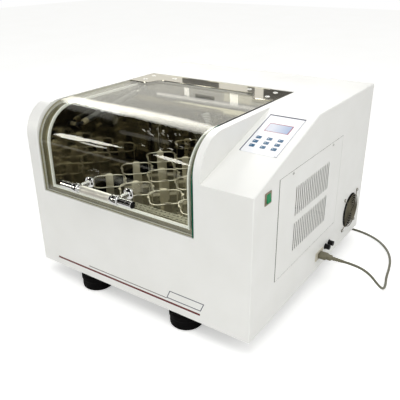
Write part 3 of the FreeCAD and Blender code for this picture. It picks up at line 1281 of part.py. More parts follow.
def platform_frame():
    """Carrier frame with three bored bosses, and the pin bearings in them."""
    x0, y0 = platform_x - frame_width / 2, drive_middle_y - frame_depth / 2
    plate = box(x0, x0 + frame_width, y0, y0 + frame_depth, frame_low, frame_high)
    windows = []
    bay = (frame_width - 3 * FRAME_BAR) / 2
    for k in range(2):
        x = x0 + FRAME_BAR + k * (bay + FRAME_BAR)
        windows.append(box(x, x + bay, y0 + FRAME_BAR, y0 + frame_depth - FRAME_BAR, frame_low - 1, frame_high + 1))
    shapes, bores, bearings = [plate.cut(windows)], [], []
    outer = CRANK_PIN_RADIUS + BEARING_WALL
    for x, y in crank_places:
        low, high = V(x + ORBIT, y, boss_low), V(x + ORBIT, y, frame_low)
        shapes.append(rod(BOSS_RADIUS, low, high + Z_AXIS * FRAME_PLATE))
        bores.append(rod(outer, low, high))
        bearings.append(ring(outer, CRANK_PIN_RADIUS + RUNNING_GAP, low, high))
    return Part.makeCompound([fused(shapes).cut(bores)] + bearings)


def shaker_tray():
    """Platform tray with a rim folded down all round."""
    x0, x1 = platform_x - tray_width / 2, platform_x + tray_width / 2
    y0, y1 = tray_front, tray_back
    tray = rounded_box(x0, x1, y0, y1, tray_top - TRAY_RIM, tray_top, 8, Z_AXIS)
    hollow = rounded_box(x0 + TRAY_SHEET, x1 - TRAY_SHEET, y0 + TRAY_SHEET, y1 - TRAY_SHEET,
                         tray_top - TRAY_RIM - 1, frame_high, 8 - TRAY_SHEET, Z_AXIS)
    return tray.cut(hollow)


def clamp_body():
    """Flask clamp about the origin: four sheet arms bent up from a flat cross."""
    outer, high = CLAMP_INNER + CLAMP_SHEET, CLAMP_HEIGHT
    half = CLAMP_ARM_WIDTH / 2
    outline = [V(0, -half, 0), V(outer, -half, 0), V(outer, -half, high - CLAMP_SHEET),
               V(outer + CLAMP_LIP, -half, high - CLAMP_SHEET), V(outer + CLAMP_LIP, -half, high),
               V(CLAMP_INNER, -half, high), V(CLAMP_INNER, -half, CLAMP_SHEET), V(0, -half, CLAMP_SHEET)]
    arm = prism(outline, V(0, CLAMP_ARM_WIDTH, 0))
    return fused([turned(arm, V(0, 0, 0), Z_AXIS, 45 + 90 * k) for k in range(4)])


def spring_ring():
    """Wire spring about the origin: four flats on the arms, joined by round corners."""
    reach = CLAMP_INNER + CLAMP_SHEET + SPRING_GAP + SPRING_WIRE
    flat = reach - SPRING_CORNER
    z = CLAMP_HEIGHT - SPRING_DROP
    side = wire(SPRING_WIRE, V(reach, -flat, z), V(reach, flat, z), 4)
    corner = wire_loop(SPRING_WIRE, SPRING_CORNER, V(flat, flat, z), 90)
    return fused([turned(shape, V(0, 0, 0), Z_AXIS, 45 + 90 * k) for k in range(4) for shape in (side, corner)])


def flask_clamps():
    """All flask clamps on the tray."""
    body = clamp_body()
    return Part.makeCompound([body.translated(place) for place in clamp_places])


def clamp_springs():
    """The wire springs of all flask clamps."""
    body = spring_ring()
    return Part.makeCompound([body.translated(place) for place in clamp_places])


# ------------------------------------------------------------------ mains cord

def cord_route():
    """Centre line of the cord from the connector to the stored coil, chosen by hand."""
    beside = V(right, inlet.y, 0)
    behind = V(right, rear, CORD_FLOOR)
    falling = [V(114.5, 0, inlet.z), V(150.5, 4.75, 79), V(173.5, 19.75, 43), V(181.5, 50.75, 14)]
    along_side = [V(178.5, 89.75, CORD_FLOOR), V(166.5, 136.75, CORD_FLOOR), V(159.5, 190.75, CORD_FLOOR)]
    round_corner = [V(146.5, -82.25, 0), V(118.5, -26.25, 0), V(74.5, 19.75, 0), V(18.5, 45.75, 0)]
    to_coil = [V(-38.5, 50.75, 0), V(-95.5, 42.75, 0)]
    end = V(coil_centre.x + 30, coil_centre.y - COIL_RADIUS, CORD_FLOOR)
    return ([cord_exit] + [beside + step for step in falling + along_side]
            + [behind + step for step in round_corner + to_coil] + [end])


def rounded_path(points):
    """Wire of straight runs joined by tangent arcs, and the arcs' radii."""
    edges, radii = [], []
    last = points[0]
    for before, corner, after in zip(points, points[1:], points[2:]):
        a, b = before - corner, after - corner
        half_turn = (math.pi - a.getAngle(b)) / 2
        setback = 0.45 * min(a.Length, b.Length)
        radius = setback / math.tan(half_turn)
        radii.append(radius)
        start = corner + V(a).normalize() * setback
        end = corner + V(b).normalize() * setback
        inward = (V(a).normalize() + V(b).normalize()).normalize()
        middle = corner + inward * (radius / math.cos(half_turn) - radius)
        edges.append(Part.LineSegment(last, start).toShape())
        edges.append(Part.Arc(start, middle, end).toShape())
        last = end
    edges.append(Part.LineSegment(last, points[-1]).toShape())
    return Part.Wire(edges), radii


def cord_tube():
    """Cord from the connector to the coil, with its radii and volume printed for review."""
    points = cord_route()
    path, radii = rounded_path(points)
    section = Part.Wire(Part.makeCircle(CORD_RADIUS, points[0], points[1] - points[0]))
    tube = path.makePipeShell([section], True, True)
    expected = math.pi * CORD_RADIUS ** 2 * path.Length
    print("cord arc radii", [round(r) for r in radii])
    print("cord length", round(path.Length), "volume ratio", round(tube.Volume / expected, 4))
    return tube


def cord_coil():
    """Outer shape of the stored coil, two turns wide and two high."""
    low = coil_centre + Z_AXIS * (CORD_FLOOR - CORD_RADIUS)
    high = low + Z_AXIS * (2 * CORD_RADIUS * COIL_LAYERS)
    return ring(COIL_RADIUS + 2 * CORD_RADIUS, COIL_RADIUS - 2 * CORD_RADIUS, low, high)


def cord_connector():
    """Appliance connector: nose in the socket, body and tapered strain relief."""
    gap = SIDE_GAP
    nose = side_block(inlet, SOCKET_WIDTH - 2 * gap, SOCKET_HEIGHT - 2 * gap, INLET_FLANGE - SOCKET_DEPTH + gap,
                      INLET_FLANGE + gap)
    body = rounded_box(right + INLET_FLANGE + gap, right + CONNECTOR_LENGTH, inlet.y - CONNECTOR_WIDTH / 2,
                       inlet.y + CONNECTOR_WIDTH / 2, inlet.z - CONNECTOR_HEIGHT / 2,
                       inlet.z + CONNECTOR_HEIGHT / 2, 5, X_AXIS)
    start = V(right + CONNECTOR_LENGTH, inlet.y, inlet.z)
    relief = Part.makeCone(RELIEF_RADIUS + 1.5, CORD_RADIUS + 1, RELIEF_LENGTH, start, X_AXIS)
    return fused([nose, body, relief])


def mains_plug():
    """Three-pin plug beside the coil, its strain relief on the cord's end."""
    y = coil_centre.y + COIL_RADIUS
    z = PLUG_HEIGHT / 2 + FLOOR_GAP
    outer, near_edge = COIL_RADIUS + 2 * CORD_RADIUS, COIL_RADIUS - CORD_RADIUS - 1
    x_relief = coil_centre.x + math.sqrt(outer ** 2 - near_edge ** 2) + SIDE_GAP
    x0 = x_relief + PLUG_RELIEF
    relief = Part.makeCone(CORD_RADIUS + 1, RELIEF_RADIUS + 1.5, PLUG_RELIEF, V(x_relief, y, z), X_AXIS)
    body = box(x0, x0 + PLUG_LENGTH, y - PLUG_WIDTH / 2, y + PLUG_WIDTH / 2, z - PLUG_HEIGHT / 2,
               z + PLUG_HEIGHT / 2)
    body = body.makeFillet(5, [e for e in body.Edges if abs(e.tangentAt(e.FirstParameter).x) > 0.99])
    pins = []
    for side in (-1, 1):
        blade = box(x0 + PLUG_LENGTH, x0 + PLUG_LENGTH + 17, y - 1, y + 1, z - 3, z + 3)
        tilted = turned(blade, V(x0, y, z), X_AXIS, side * 30)
        pins.append(tilted.translated(V(0, side * 7, 3)))
    pins.append(box(x0 + PLUG_LENGTH, x0 + PLUG_LENGTH + 20, y - 1, y + 1, z - 10, z - 3))
    return fused([relief, body] + pins)


# ------------------------------------------------------------------ all pieces

PIECES = {
    "cabinet_shell": cabinet_shell,
    "rear_panel": rear_panel,
    "base_pan": base_pan,
    "rubber_feet": rubber_feet,
    "chamber_liner": chamber_liner,
    "rim_flange": rim_flange,
    "lid_gasket": lid_gasket,
    "insulation": insulation,
    "duct_panel": duct_panel,
    "circulation_fan_motor": circulation_fan_motor,
    "circulation_fan": circulation_fan,
    "air_heater": air_heater,
    "temperature_probe": temperature_probe,
    "service_panel": service_panel,
    "side_fan_frame": side_fan_frame,
    "side_fan_impeller": side_fan_impeller,
    "fan_guards": fan_guards,
    "cabinet_screws": cabinet_screws,
    "power_inlet": power_inlet,
    "fuse_holders": fuse_holders,
    "switch_bezel": switch_bezel,
    "power_rocker": power_rocker,
    "keypad_plate": keypad_plate,
    "display_window": display_window,
    "control_electronics": control_electronics,
    "lid_hinge": lid_hinge,
    "lid_glass": lid_glass,
    "lid_hinge_strip": lid_hinge_strip,
    "strip_screws": strip_screws,
    "handle_bar": handle_bar,
    "handle_sleeve": handle_sleeve,
    "handle_end_caps": handle_end_caps,
    "handle_posts": handle_posts,
    "strut_lid_bracket": strut_lid_bracket,
    "strut_cylinder": strut_cylinder,
    "strut_rod": strut_rod,
    "drive_frame": drive_frame,
    "drive_motor": drive_motor,
    "drive_belt": drive_belt,
    "drive_crank": drive_crank,
    "motor_pulley": motor_pulley,
    "platform_frame": platform_frame,
    "shaker_tray": shaker_tray,
    "flask_clamps": flask_clamps,
    "clamp_springs": clamp_springs,
    "cord_connector": cord_connector,
    "cord_tube": cord_tube,
    "cord_coil": cord_coil,
    "mains_plug": mains_plug,
}


def save(name, shape):
    """Writes one piece as a STEP file."""
    shape.exportStep("parts/" + name + ".step")
    print(name, "solids", len(shape.Solids), "valid", shape.isValid())


os.makedirs("parts", exist_ok=True)
for piece_name, make in PIECES.items():
    save(piece_name, make())
for side_name, idler_x in idler_places.items():
    save("idler_crank_" + side_name, idler_crank(idler_x))
for number, (key_x, key_up) in enumerate(key_places(), 1):
    save("key_" + str(number), key(key_x, key_up))
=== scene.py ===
"""Looks of an incubated benchtop shaker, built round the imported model.

Laid out as an add-on and run as a script.
"""
import math
import random

import bmesh
import bpy
from bpy.props import FloatProperty, FloatVectorProperty, IntProperty, PointerProperty
from mathutils import Matrix, Vector


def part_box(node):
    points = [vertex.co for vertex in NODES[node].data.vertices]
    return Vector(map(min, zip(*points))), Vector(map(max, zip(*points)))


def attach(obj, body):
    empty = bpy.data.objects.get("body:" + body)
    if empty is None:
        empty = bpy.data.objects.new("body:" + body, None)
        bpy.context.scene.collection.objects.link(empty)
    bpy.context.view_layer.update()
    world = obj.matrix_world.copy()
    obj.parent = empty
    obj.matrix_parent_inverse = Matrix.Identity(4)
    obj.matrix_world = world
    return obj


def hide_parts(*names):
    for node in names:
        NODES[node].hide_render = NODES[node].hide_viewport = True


bl_info = {
    "name": "Incubated benchtop shaker",
    "version": (1, 0, 0),
    "blender": (4, 5, 0),
    "location": "View3D > Sidebar > Shaker",
    "description": "Builds the pieces and finishes of an incubated benchtop shaker",
    "category": "Object",
}

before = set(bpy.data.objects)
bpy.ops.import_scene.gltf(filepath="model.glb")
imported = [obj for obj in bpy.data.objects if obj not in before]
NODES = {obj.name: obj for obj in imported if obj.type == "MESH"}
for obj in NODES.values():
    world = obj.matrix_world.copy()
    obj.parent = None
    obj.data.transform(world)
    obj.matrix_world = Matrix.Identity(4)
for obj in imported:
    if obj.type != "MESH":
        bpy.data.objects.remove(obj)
MM = 1000                                 # millimetres in a metre
CABINET_LOW, CABINET_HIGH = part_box("cabinet_shell")
TO_FRAME = Matrix.Translation(CABINET_LOW) @ Matrix.Scale(1 / MM, 4)   # cabinet millimetres to metres
X, Y, Z = Vector((1, 0, 0)), Vector((0, 1, 0)), Vector((0, 0, 1))
WIDTH, DEPTH, HEIGHT = (CABINET_HIGH - CABINET_LOW) * MM
SLOPE_DROP, SLOPE_RUN = 104.3, 324.6      # keypad slope of the control housing
SLOPE = math.atan2(SLOPE_DROP, SLOPE_RUN)
SLOPE_LOW = HEIGHT - SLOPE_DROP           # its lower edge, on the cabinet's front
PANEL_SCREWS = ((188, 372.8), (435, 372.8))   # the service panel's screws, y and z


# ---------------------------------------------------------------- helpers

def linear(hex_colour):
    """sRGB hex to linear RGB."""
    values = [int(hex_colour[i:i + 2], 16) / 255 for i in (1, 3, 5)]
    return tuple(v / 12.92 if v <= 0.04045 else ((v + 0.055) / 1.055) ** 2.4 for v in values)


def box_of(node):
    """Lowest and highest corner of a carried solid, in millimetres from the cabinet's own lowest corner."""
    return [TO_FRAME.inverted() @ Vector(corner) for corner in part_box(node)]


def middle_of(node):
    """Middle of a carried solid's box, in cabinet millimetres."""
    low, high = box_of(node)
    return (low + high) / 2


def side_axes(axis):
    """Two unit vectors square to an axis."""
    axis = Vector(axis).normalized()
    u = axis.cross(X if abs(axis.x) < 0.9 else Y).normalized()
    return u, axis.cross(u)


def skin(bm, rings, material=0, closed=False, capped=False):
    """Faces between rings of vertices, each ring closed."""
    pairs = list(zip(rings, rings[1:])) + ([(rings[-1], rings[0])] if closed else [])
    for a, b in pairs:
        for k in range(max(len(a), len(b))):
            corners = [a[k % len(a)], a[(k + 1) % len(a)], b[(k + 1) % len(b)], b[k % len(b)]]
            corners = [v for i, v in enumerate(corners) if v not in corners[:i]]
            bm.faces.new(corners).material_index = material
    if capped:
        for ring in (rings[0], rings[-1]):
            if len(ring) > 2:
                bm.faces.new(ring).material_index = material


def round_ring(bm, middle, u, v, radius, steps):
    """Ring of vertices about a middle, in the plane of two unit vectors."""
    turns = [2 * math.pi * k / steps for k in range(steps)]
    return [bm.verts.new(middle + (u * math.cos(t) + v * math.sin(t)) * radius) for t in turns]


def lathe(bm, profile, base, axis=Z, steps=48, material=0, bored=False):
    """Turns a profile of (radius, height) about an axis from a base point; a bored one closes on itself."""
    axis = Vector(axis).normalized()
    u, v = side_axes(axis)
    rings = []
    for radius, height in profile:
        middle = Vector(base) + axis * height
        rings.append(round_ring(bm, middle, u, v, radius, steps) if radius else [bm.verts.new(middle)])
    skin(bm, rings, material, closed=bored, capped=not bored)


def cross_head(bm, base, axis, radius, height, turn, material=0):
    """Pan head with a cross recess pressed into its top."""
    axis = Vector(axis).normalized()
    u, v = side_axes(axis)
    base = Vector(base)
    steps, flat = 32, 0.98 * height
    waist, reach, depth = 0.28 * radius, 0.62 * radius, 0.45 * height
    half_arm = 0.38                       # half an arm's width, as a share of an eighth turn
    rings = []
    for share, rise in ((1.0, 0), (1.0, 0.35), (0.93, 0.68), (0.8, 0.88), (0.66, 0.98)):
        rings.append(round_ring(bm, base + axis * height * rise, u, v, radius * share, steps))
    for taper, drop in ((1.0, 0), (0.8, depth)):
        ring = []
        for k in range(steps):
            t = 2 * math.pi * k / steps
            on_arm = abs(((t + math.radians(turn)) % (math.pi / 2)) - math.pi / 4) / (math.pi / 4)
            size = (reach if on_arm > 1 - half_arm else waist) * taper
            out = (u * math.cos(t) + v * math.sin(t)) * size
            ring.append(bm.verts.new(base + axis * (flat - drop) + out))
        rings.append(ring)
    rings.append([bm.verts.new(base + axis * (flat - depth))])
    skin(bm, rings, material)
    bm.faces.new(rings[0]).material_index = material


def tube(bm, points, radius, sides=12, closed=False, swell=None):
    """Round wire along points. swell gives each ring's share of the radius."""
    points = [Vector(p) for p in points]
    count = len(points)
    rings, up = [], None
    for k, point in enumerate(points):
        before = points[k - 1] if k or closed else point
        after = points[(k + 1) % count] if k < count - 1 or closed else point
        along = (after - before).normalized()
        up = side_axes(along)[0] if up is None else (up - along * up.dot(along)).normalized()
        rings.append(round_ring(bm, point, up, along.cross(up), radius * (swell[k] if swell else 1), sides))
    skin(bm, rings, closed=closed, capped=not closed)


def strip(bm, points, across, widths, thickness):
    """Bent flat strip along points, each with its width; across is the width's direction."""
    points = [Vector(p) for p in points]
    across = Vector(across).normalized()
    rings = []
    for k, (point, wide) in enumerate(zip(points, widths)):
        before, after = points[max(k - 1, 0)], points[min(k + 1, len(points) - 1)]
        out = (after - before).normalized().cross(across)
        corners = [(-wide / 2, 0), (wide / 2, 0), (wide / 2, thickness), (-wide / 2, thickness)]
        rings.append([bm.verts.new(point + across * a + out * b) for a, b in corners])
    skin(bm, rings, capped=True)


def bent_line(corners, radius, steps=5):
    """Points of a line through corners, each corner rounded by an arc."""
    corners = [Vector(c) for c in corners]
    points = [corners[0]]
    for before, corner, after in zip(corners, corners[1:], corners[2:]):
        a, b = (before - corner).normalized(), (after - corner).normalized()
        half = a.angle(b) / 2
        shorter = 0.49 * min((before - corner).length, (after - corner).length)
        reach = min(radius / math.tan(half), shorter)
        size = reach * math.tan(half)
        middle = corner + (a + b).normalized() * (size / math.sin(half))
        start_arm, end_arm = corner + a * reach - middle, corner + b * reach - middle
        turn = start_arm.angle(end_arm)
        for k in range(steps + 1):
            share = k / steps
            weights = math.sin((1 - share) * turn) / math.sin(turn), math.sin(share * turn) / math.sin(turn)
            points.append(middle + start_arm * weights[0] + end_arm * weights[1])
    return points + [corners[-1]]


def block(bm, low, high, radius, steps=2, material=0, matrix=None):
    """Box between two corners with rounded edges."""
    low, high = Vector(low), Vector(high)
    made = bmesh.ops.create_cube(bm, size=1)["verts"]
    for v in made:
        v.co = Vector(((v.co[i] + 0.5) * (high[i] - low[i]) + low[i]) for i in range(3))
    edges = list({e for v in made for e in v.link_edges})
    faces = {f for v in made for f in v.link_faces}
    result = bmesh.ops.bevel(bm, geom=edges, offset=radius, segments=steps, profile=0.5, affect="EDGES")
    faces = {f for f in faces if f.is_valid} | set(result["faces"])
    for f in faces:
        f.material_index = material
    if matrix:
        bmesh.ops.transform(bm, matrix=matrix, verts=list({v for f in faces for v in f.verts}))


def circle(u, v, radius, steps=12):
    """Closed outline of a circle."""
    turns = [2 * math.pi * k / steps for k in range(steps)]
    return [(u + radius * math.cos(t), v + radius * math.sin(t)) for t in turns]


def rectangle(u0, u1, v0, v1, radius=0, steps=5):
    """Closed outline of a rectangle with round corners."""
    if not radius:
        return [(u0, v0), (u1, v0), (u1, v1), (u0, v1)]
    centres = [(u1 - radius, v1 - radius, 0), (u0 + radius, v1 - radius, 90),
               (u0 + radius, v0 + radius, 180), (u1 - radius, v0 + radius, 270)]
    outline = []
    for u, v, first in centres:
        for k in range(steps + 1):
            turn = math.radians(first + 90 * k / steps)
            outline.append((u + radius * math.cos(turn), v + radius * math.sin(turn)))
    return outline


def inset_rectangle(u0, u1, v0, v1, inset, radius=0, steps=5):
    """Closed outline of a rectangle drawn in from four edges."""
    return rectangle(u0 + inset, u1 - inset, v0 + inset, v1 - inset, radius, steps)


def sheet_with_holes(bm, outline, holes, place, low, high, material=0):
    """Flat sheet with holes. Outlines are (u, v) points; place turns (u, v, w) to a point."""
    edges = []
    for loop in [outline] + list(holes):
        ring = [bm.verts.new(place(u, v, high)) for u, v in loop]
        edges += [bm.edges.new(pair) for pair in zip(ring, ring[1:] + ring[:1])]
    filled = bmesh.ops.triangle_fill(bm, use_beauty=True, use_dissolve=False, edges=edges)["geom"]
    faces = [g for g in filled if isinstance(g, bmesh.types.BMFace)]
    grown = bmesh.ops.extrude_face_region(bm, geom=faces, use_keep_orig=True)["geom"]
    drop = place(0, 0, low) - place(0, 0, high)
    bmesh.ops.translate(bm, verts=[g for g in grown if isinstance(g, bmesh.types.BMVert)], vec=drop)
    for g in grown + faces:
        if isinstance(g, bmesh.types.BMFace):
            g.material_index = material
            for side in g.edges:
                for f in side.link_faces:
                    f.material_index = material


def on_front(u, v, w):
    """A point on the cabinet's front: u to the right, v up, w outward."""
    return Vector((u, -w, v))


def on_side(u, v, w):
    """A point on the cabinet's right side: u to the back, v up, w outward."""
    return Vector((WIDTH + w, u, v))


def on_slope(u, v, w):
    """A point on the keypad slope: u to the right, v up the slope, w outward."""
    return Vector((u, v * math.cos(SLOPE) - w * math.sin(SLOPE),
                   SLOPE_LOW + v * math.sin(SLOPE) + w * math.cos(SLOPE)))


def level(u, v, w):
    """A point of a level sheet."""
    return Vector((u, v, w))


def piece(name, bm, body, finishes, replaced=(), sharp=32):
    """Makes a piece from a mesh in cabinet millimetres; edges over the sharp angle stay crisp."""
    bmesh.ops.transform(bm, matrix=TO_FRAME, verts=bm.verts)
    bmesh.ops.recalc_face_normals(bm, faces=bm.faces)
    mesh = bpy.data.meshes.new(name)
    bm.to_mesh(mesh)
    bm.free()
    mesh.shade_smooth()
    mesh.set_sharp_from_angle(angle=math.radians(sharp))
    made = bpy.data.objects.new(name, mesh)
    bpy.context.scene.collection.objects.link(made)
    for each in finishes:
        mesh.materials.append(finish(each))
    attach(made, body)
    if replaced:
        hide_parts(*replaced)
    return made


# ---------------------------------------------------------------- materials

EVEN = (1, 1, 1)                          # a pattern as long as it is wide
NOISE_LOW, NOISE_HIGH = 0.3, 0.7          # between these lies nearly all of the noise


def rgba(value):
    """Linear colour with alpha, from a hex value or the name of one of the sidebar's colours."""
    if value.startswith("#"):
        return (*linear(value), 1)
    return (*getattr(bpy.context.scene.shaker_colours, value), 1)


def add(tree, kind, values=None, links=None, **settings):
    """Adds a node with its settings, socket values and links."""
    node = tree.nodes.new(kind)
    for name, value in settings.items():
        setattr(node, name, value)
    for socket, value in (values or {}).items():
        node.inputs[socket].default_value = value
    for socket, source in (links or {}).items():
        tree.links.new(source, node.inputs[socket])
    return node


def start(name, *patterns):
    """New node material: gives its tree, its position in millimetres and the noise of each pattern.

    A pattern is (size of its features in millimetres, detail, stretch along x, y and z).
    """
    material = bpy.data.materials.new(name)
    material.use_nodes = True
    tree = material.node_tree
    tree.nodes.clear()
    spot = add(tree, "ShaderNodeTexCoord")
    scaled = add(tree, "ShaderNodeMapping", {"Scale": (MM, MM, MM)}, {"Vector": spot.outputs["Object"]})
    position = scaled.outputs["Vector"]
    noise = {}
    for size, detail, stretch in dict.fromkeys(patterns):
        pulled = add(tree, "ShaderNodeMapping", {"Scale": [1 / s for s in stretch]}, {"Vector": position})
        texture = add(tree, "ShaderNodeTexNoise", {"Scale": 1 / size, "Detail": detail},
                      {"Vector": pulled.outputs["Vector"]})
        noise[size, detail, stretch] = texture.outputs["Fac"]
    return material, tree, position, noise


def close(material, tree, colours, tint, rough, sheen, links, **constants):
    """Closes a material: its colour runs between two by the tint, its roughness between two by the sheen.

    Constants are set on the shader's own sockets.
    """
    base = add(tree, "ShaderNodeMix", {"A": rgba(colours[0]), "B": rgba(colours[1])}, {"Factor": tint},
               data_type="RGBA")
    gloss = add(tree, "ShaderNodeMapRange", {"From Min": NOISE_LOW, "From Max": NOISE_HIGH,
                                             "To Min": rough[0], "To Max": rough[1]}, {"Value": sheen})
    shader = add(tree, "ShaderNodeBsdfPrincipled", constants,
                 {"Base Color": base.outputs["Result"], "Roughness": gloss.outputs["Result"], **links})
    add(tree, "ShaderNodeOutputMaterial", links={"Surface": shader.outputs[0]})
    return material


def solid(name, colours, rough, tint, reliefs, sheen=None, **constants):
    """Opaque material of noise patterns.

    The tint leads from the light to the dark colour, and from the low to the high roughness unless sheen is
    another pattern. Each relief is a pattern with its height in millimetres, the coarse one first.
    """
    sheen = sheen or tint
    material, tree, _, noise = start(name, tint, sheen, *[pattern for pattern, height in reliefs])
    links = {}
    for pattern, height in reliefs:
        bump = add(tree, "ShaderNodeBump", {"Strength": 1.0, "Distance": height / MM},
                   {"Height": noise[pattern], **links})
        links = {"Normal": bump.outputs["Normal"]}
    return close(material, tree, colours, noise[tint], rough, noise[sheen], links, **constants)


def powder_coat(name, light, dark):
    """Powder coat, sprayed and baked: a soft sheen over orange peel 1.6 mm across, a trace of dust tone."""
    return solid(name, (light, dark), (0.34, 0.44), (90, 3, EVEN), [((1.6, 2, EVEN), 0.012)], IOR=1.5)


def drawn_steel(name, light, dark, rough=(0.03, 0.09), swell=0.18):
    """Bright-rolled stainless sheet, pressed and bent: a dim mirror whose slow waves break up what it shows.

    The rolling lines are drawn 0.9 mm apart, coarser than real ones, so that they show.
    """
    waves, lines = (42, 2, EVEN), (0.9, 3, (40, 1, 1))
    return solid(name, (light, dark), rough, (30, 4, EVEN), [(waves, swell), (lines, 0.01)], Metallic=1.0)


def rolled_steel(name, light, dark, rough, along=(60, 1, 1), line=0.5):
    """Satin steel sheet, brushed along one direction: stretched highlights and faint rub marks.

    The brushed lines are drawn 0.5 mm apart, coarser than real ones, so that they show.
    """
    lines = (line, 3, along)
    return solid(name, (light, dark), rough, (70, 3, EVEN), [(lines, 0.02)], sheen=lines, Metallic=1.0)


def polished_metal(name, light, dark, rough):
    """Polished or plated metal: mirror-like, with wipe marks a finger wide and tiny scratches."""
    wipe, scratches = (16, 3, (3, 1, 1)), (0.6, 2, (12, 1, 1))
    return solid(name, (light, dark), rough, wipe, [(scratches, 0.003)], Metallic=1.0)


def cast_metal(name, light, dark, pit=1.2, rough=(0.35, 0.5)):
    """Cast or turned aluminium and zinc: dull silver with a fine pitted skin."""
    pits = (pit, 4, EVEN)
    return solid(name, (light, dark), rough, pits, [(pits, 0.04)], Metallic=1.0)


def moulded(name, light, dark, rough=(0.42, 0.55), texture=0.7, depth=0.03, ior=1.5):
    """Moulded plastic or rubber: fine spark-eroded texture about 0.7 mm across, slightly uneven sheen."""
    return solid(name, (light, dark), rough, (25, 3, EVEN), [((texture, 3, EVEN), depth)], IOR=ior)


def display_window(name, light, deep):
    """Polished display window: the lit panel behind it goes from nearly white on the left to sky blue."""
    smear, white_run = (14, 2, EVEN), 20
    material, tree, position, noise = start(name, smear)
    low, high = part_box("display_window")
    parts = add(tree, "ShaderNodeSeparateXYZ", links={"Vector": position})
    across = add(tree, "ShaderNodeMapRange", {"From Min": low.x * MM + white_run, "From Max": high.x * MM},
                 {"Value": parts.outputs["X"]})
    return close(material, tree, (light, deep), across.outputs["Result"], (0.1, 0.16), noise[smear], {},
                 IOR=1.49)


def window_glass(name, tint):
    """Float glass seen through: both faces mirror 4% head on and far more at a slant, with a wiped haze."""
    smear = (60, 3, (2, 1, 1))
    material, tree, _, noise = start(name, smear)
    haze = add(tree, "ShaderNodeMapRange", {"From Min": NOISE_LOW, "From Max": NOISE_HIGH,
                                            "To Min": 0.01, "To Max": 0.04}, {"Value": noise[smear]})
    through = add(tree, "ShaderNodeBsdfTransparent", {"Color": rgba(tint)})
    shine = add(tree, "ShaderNodeBsdfGlossy", {"Color": (1, 1, 1, 1)}, {"Roughness": haze.outputs["Result"]})
    slant = add(tree, "ShaderNodeLayerWeight", {"Blend": 0.5})
    power = add(tree, "ShaderNodeMath", {1: 5.0}, {0: slant.outputs["Facing"]}, operation="POWER")
    share = add(tree, "ShaderNodeMapRange", {"To Min": 0.043, "To Max": 1.0}, {"Value": power.outputs[0]})
    both = add(tree, "ShaderNodeMixShader",
               links={0: share.outputs[0], 1: through.outputs[0], 2: shine.outputs[0]})
    add(tree, "ShaderNodeOutputMaterial", links={"Surface": both.outputs[0]})
    return material


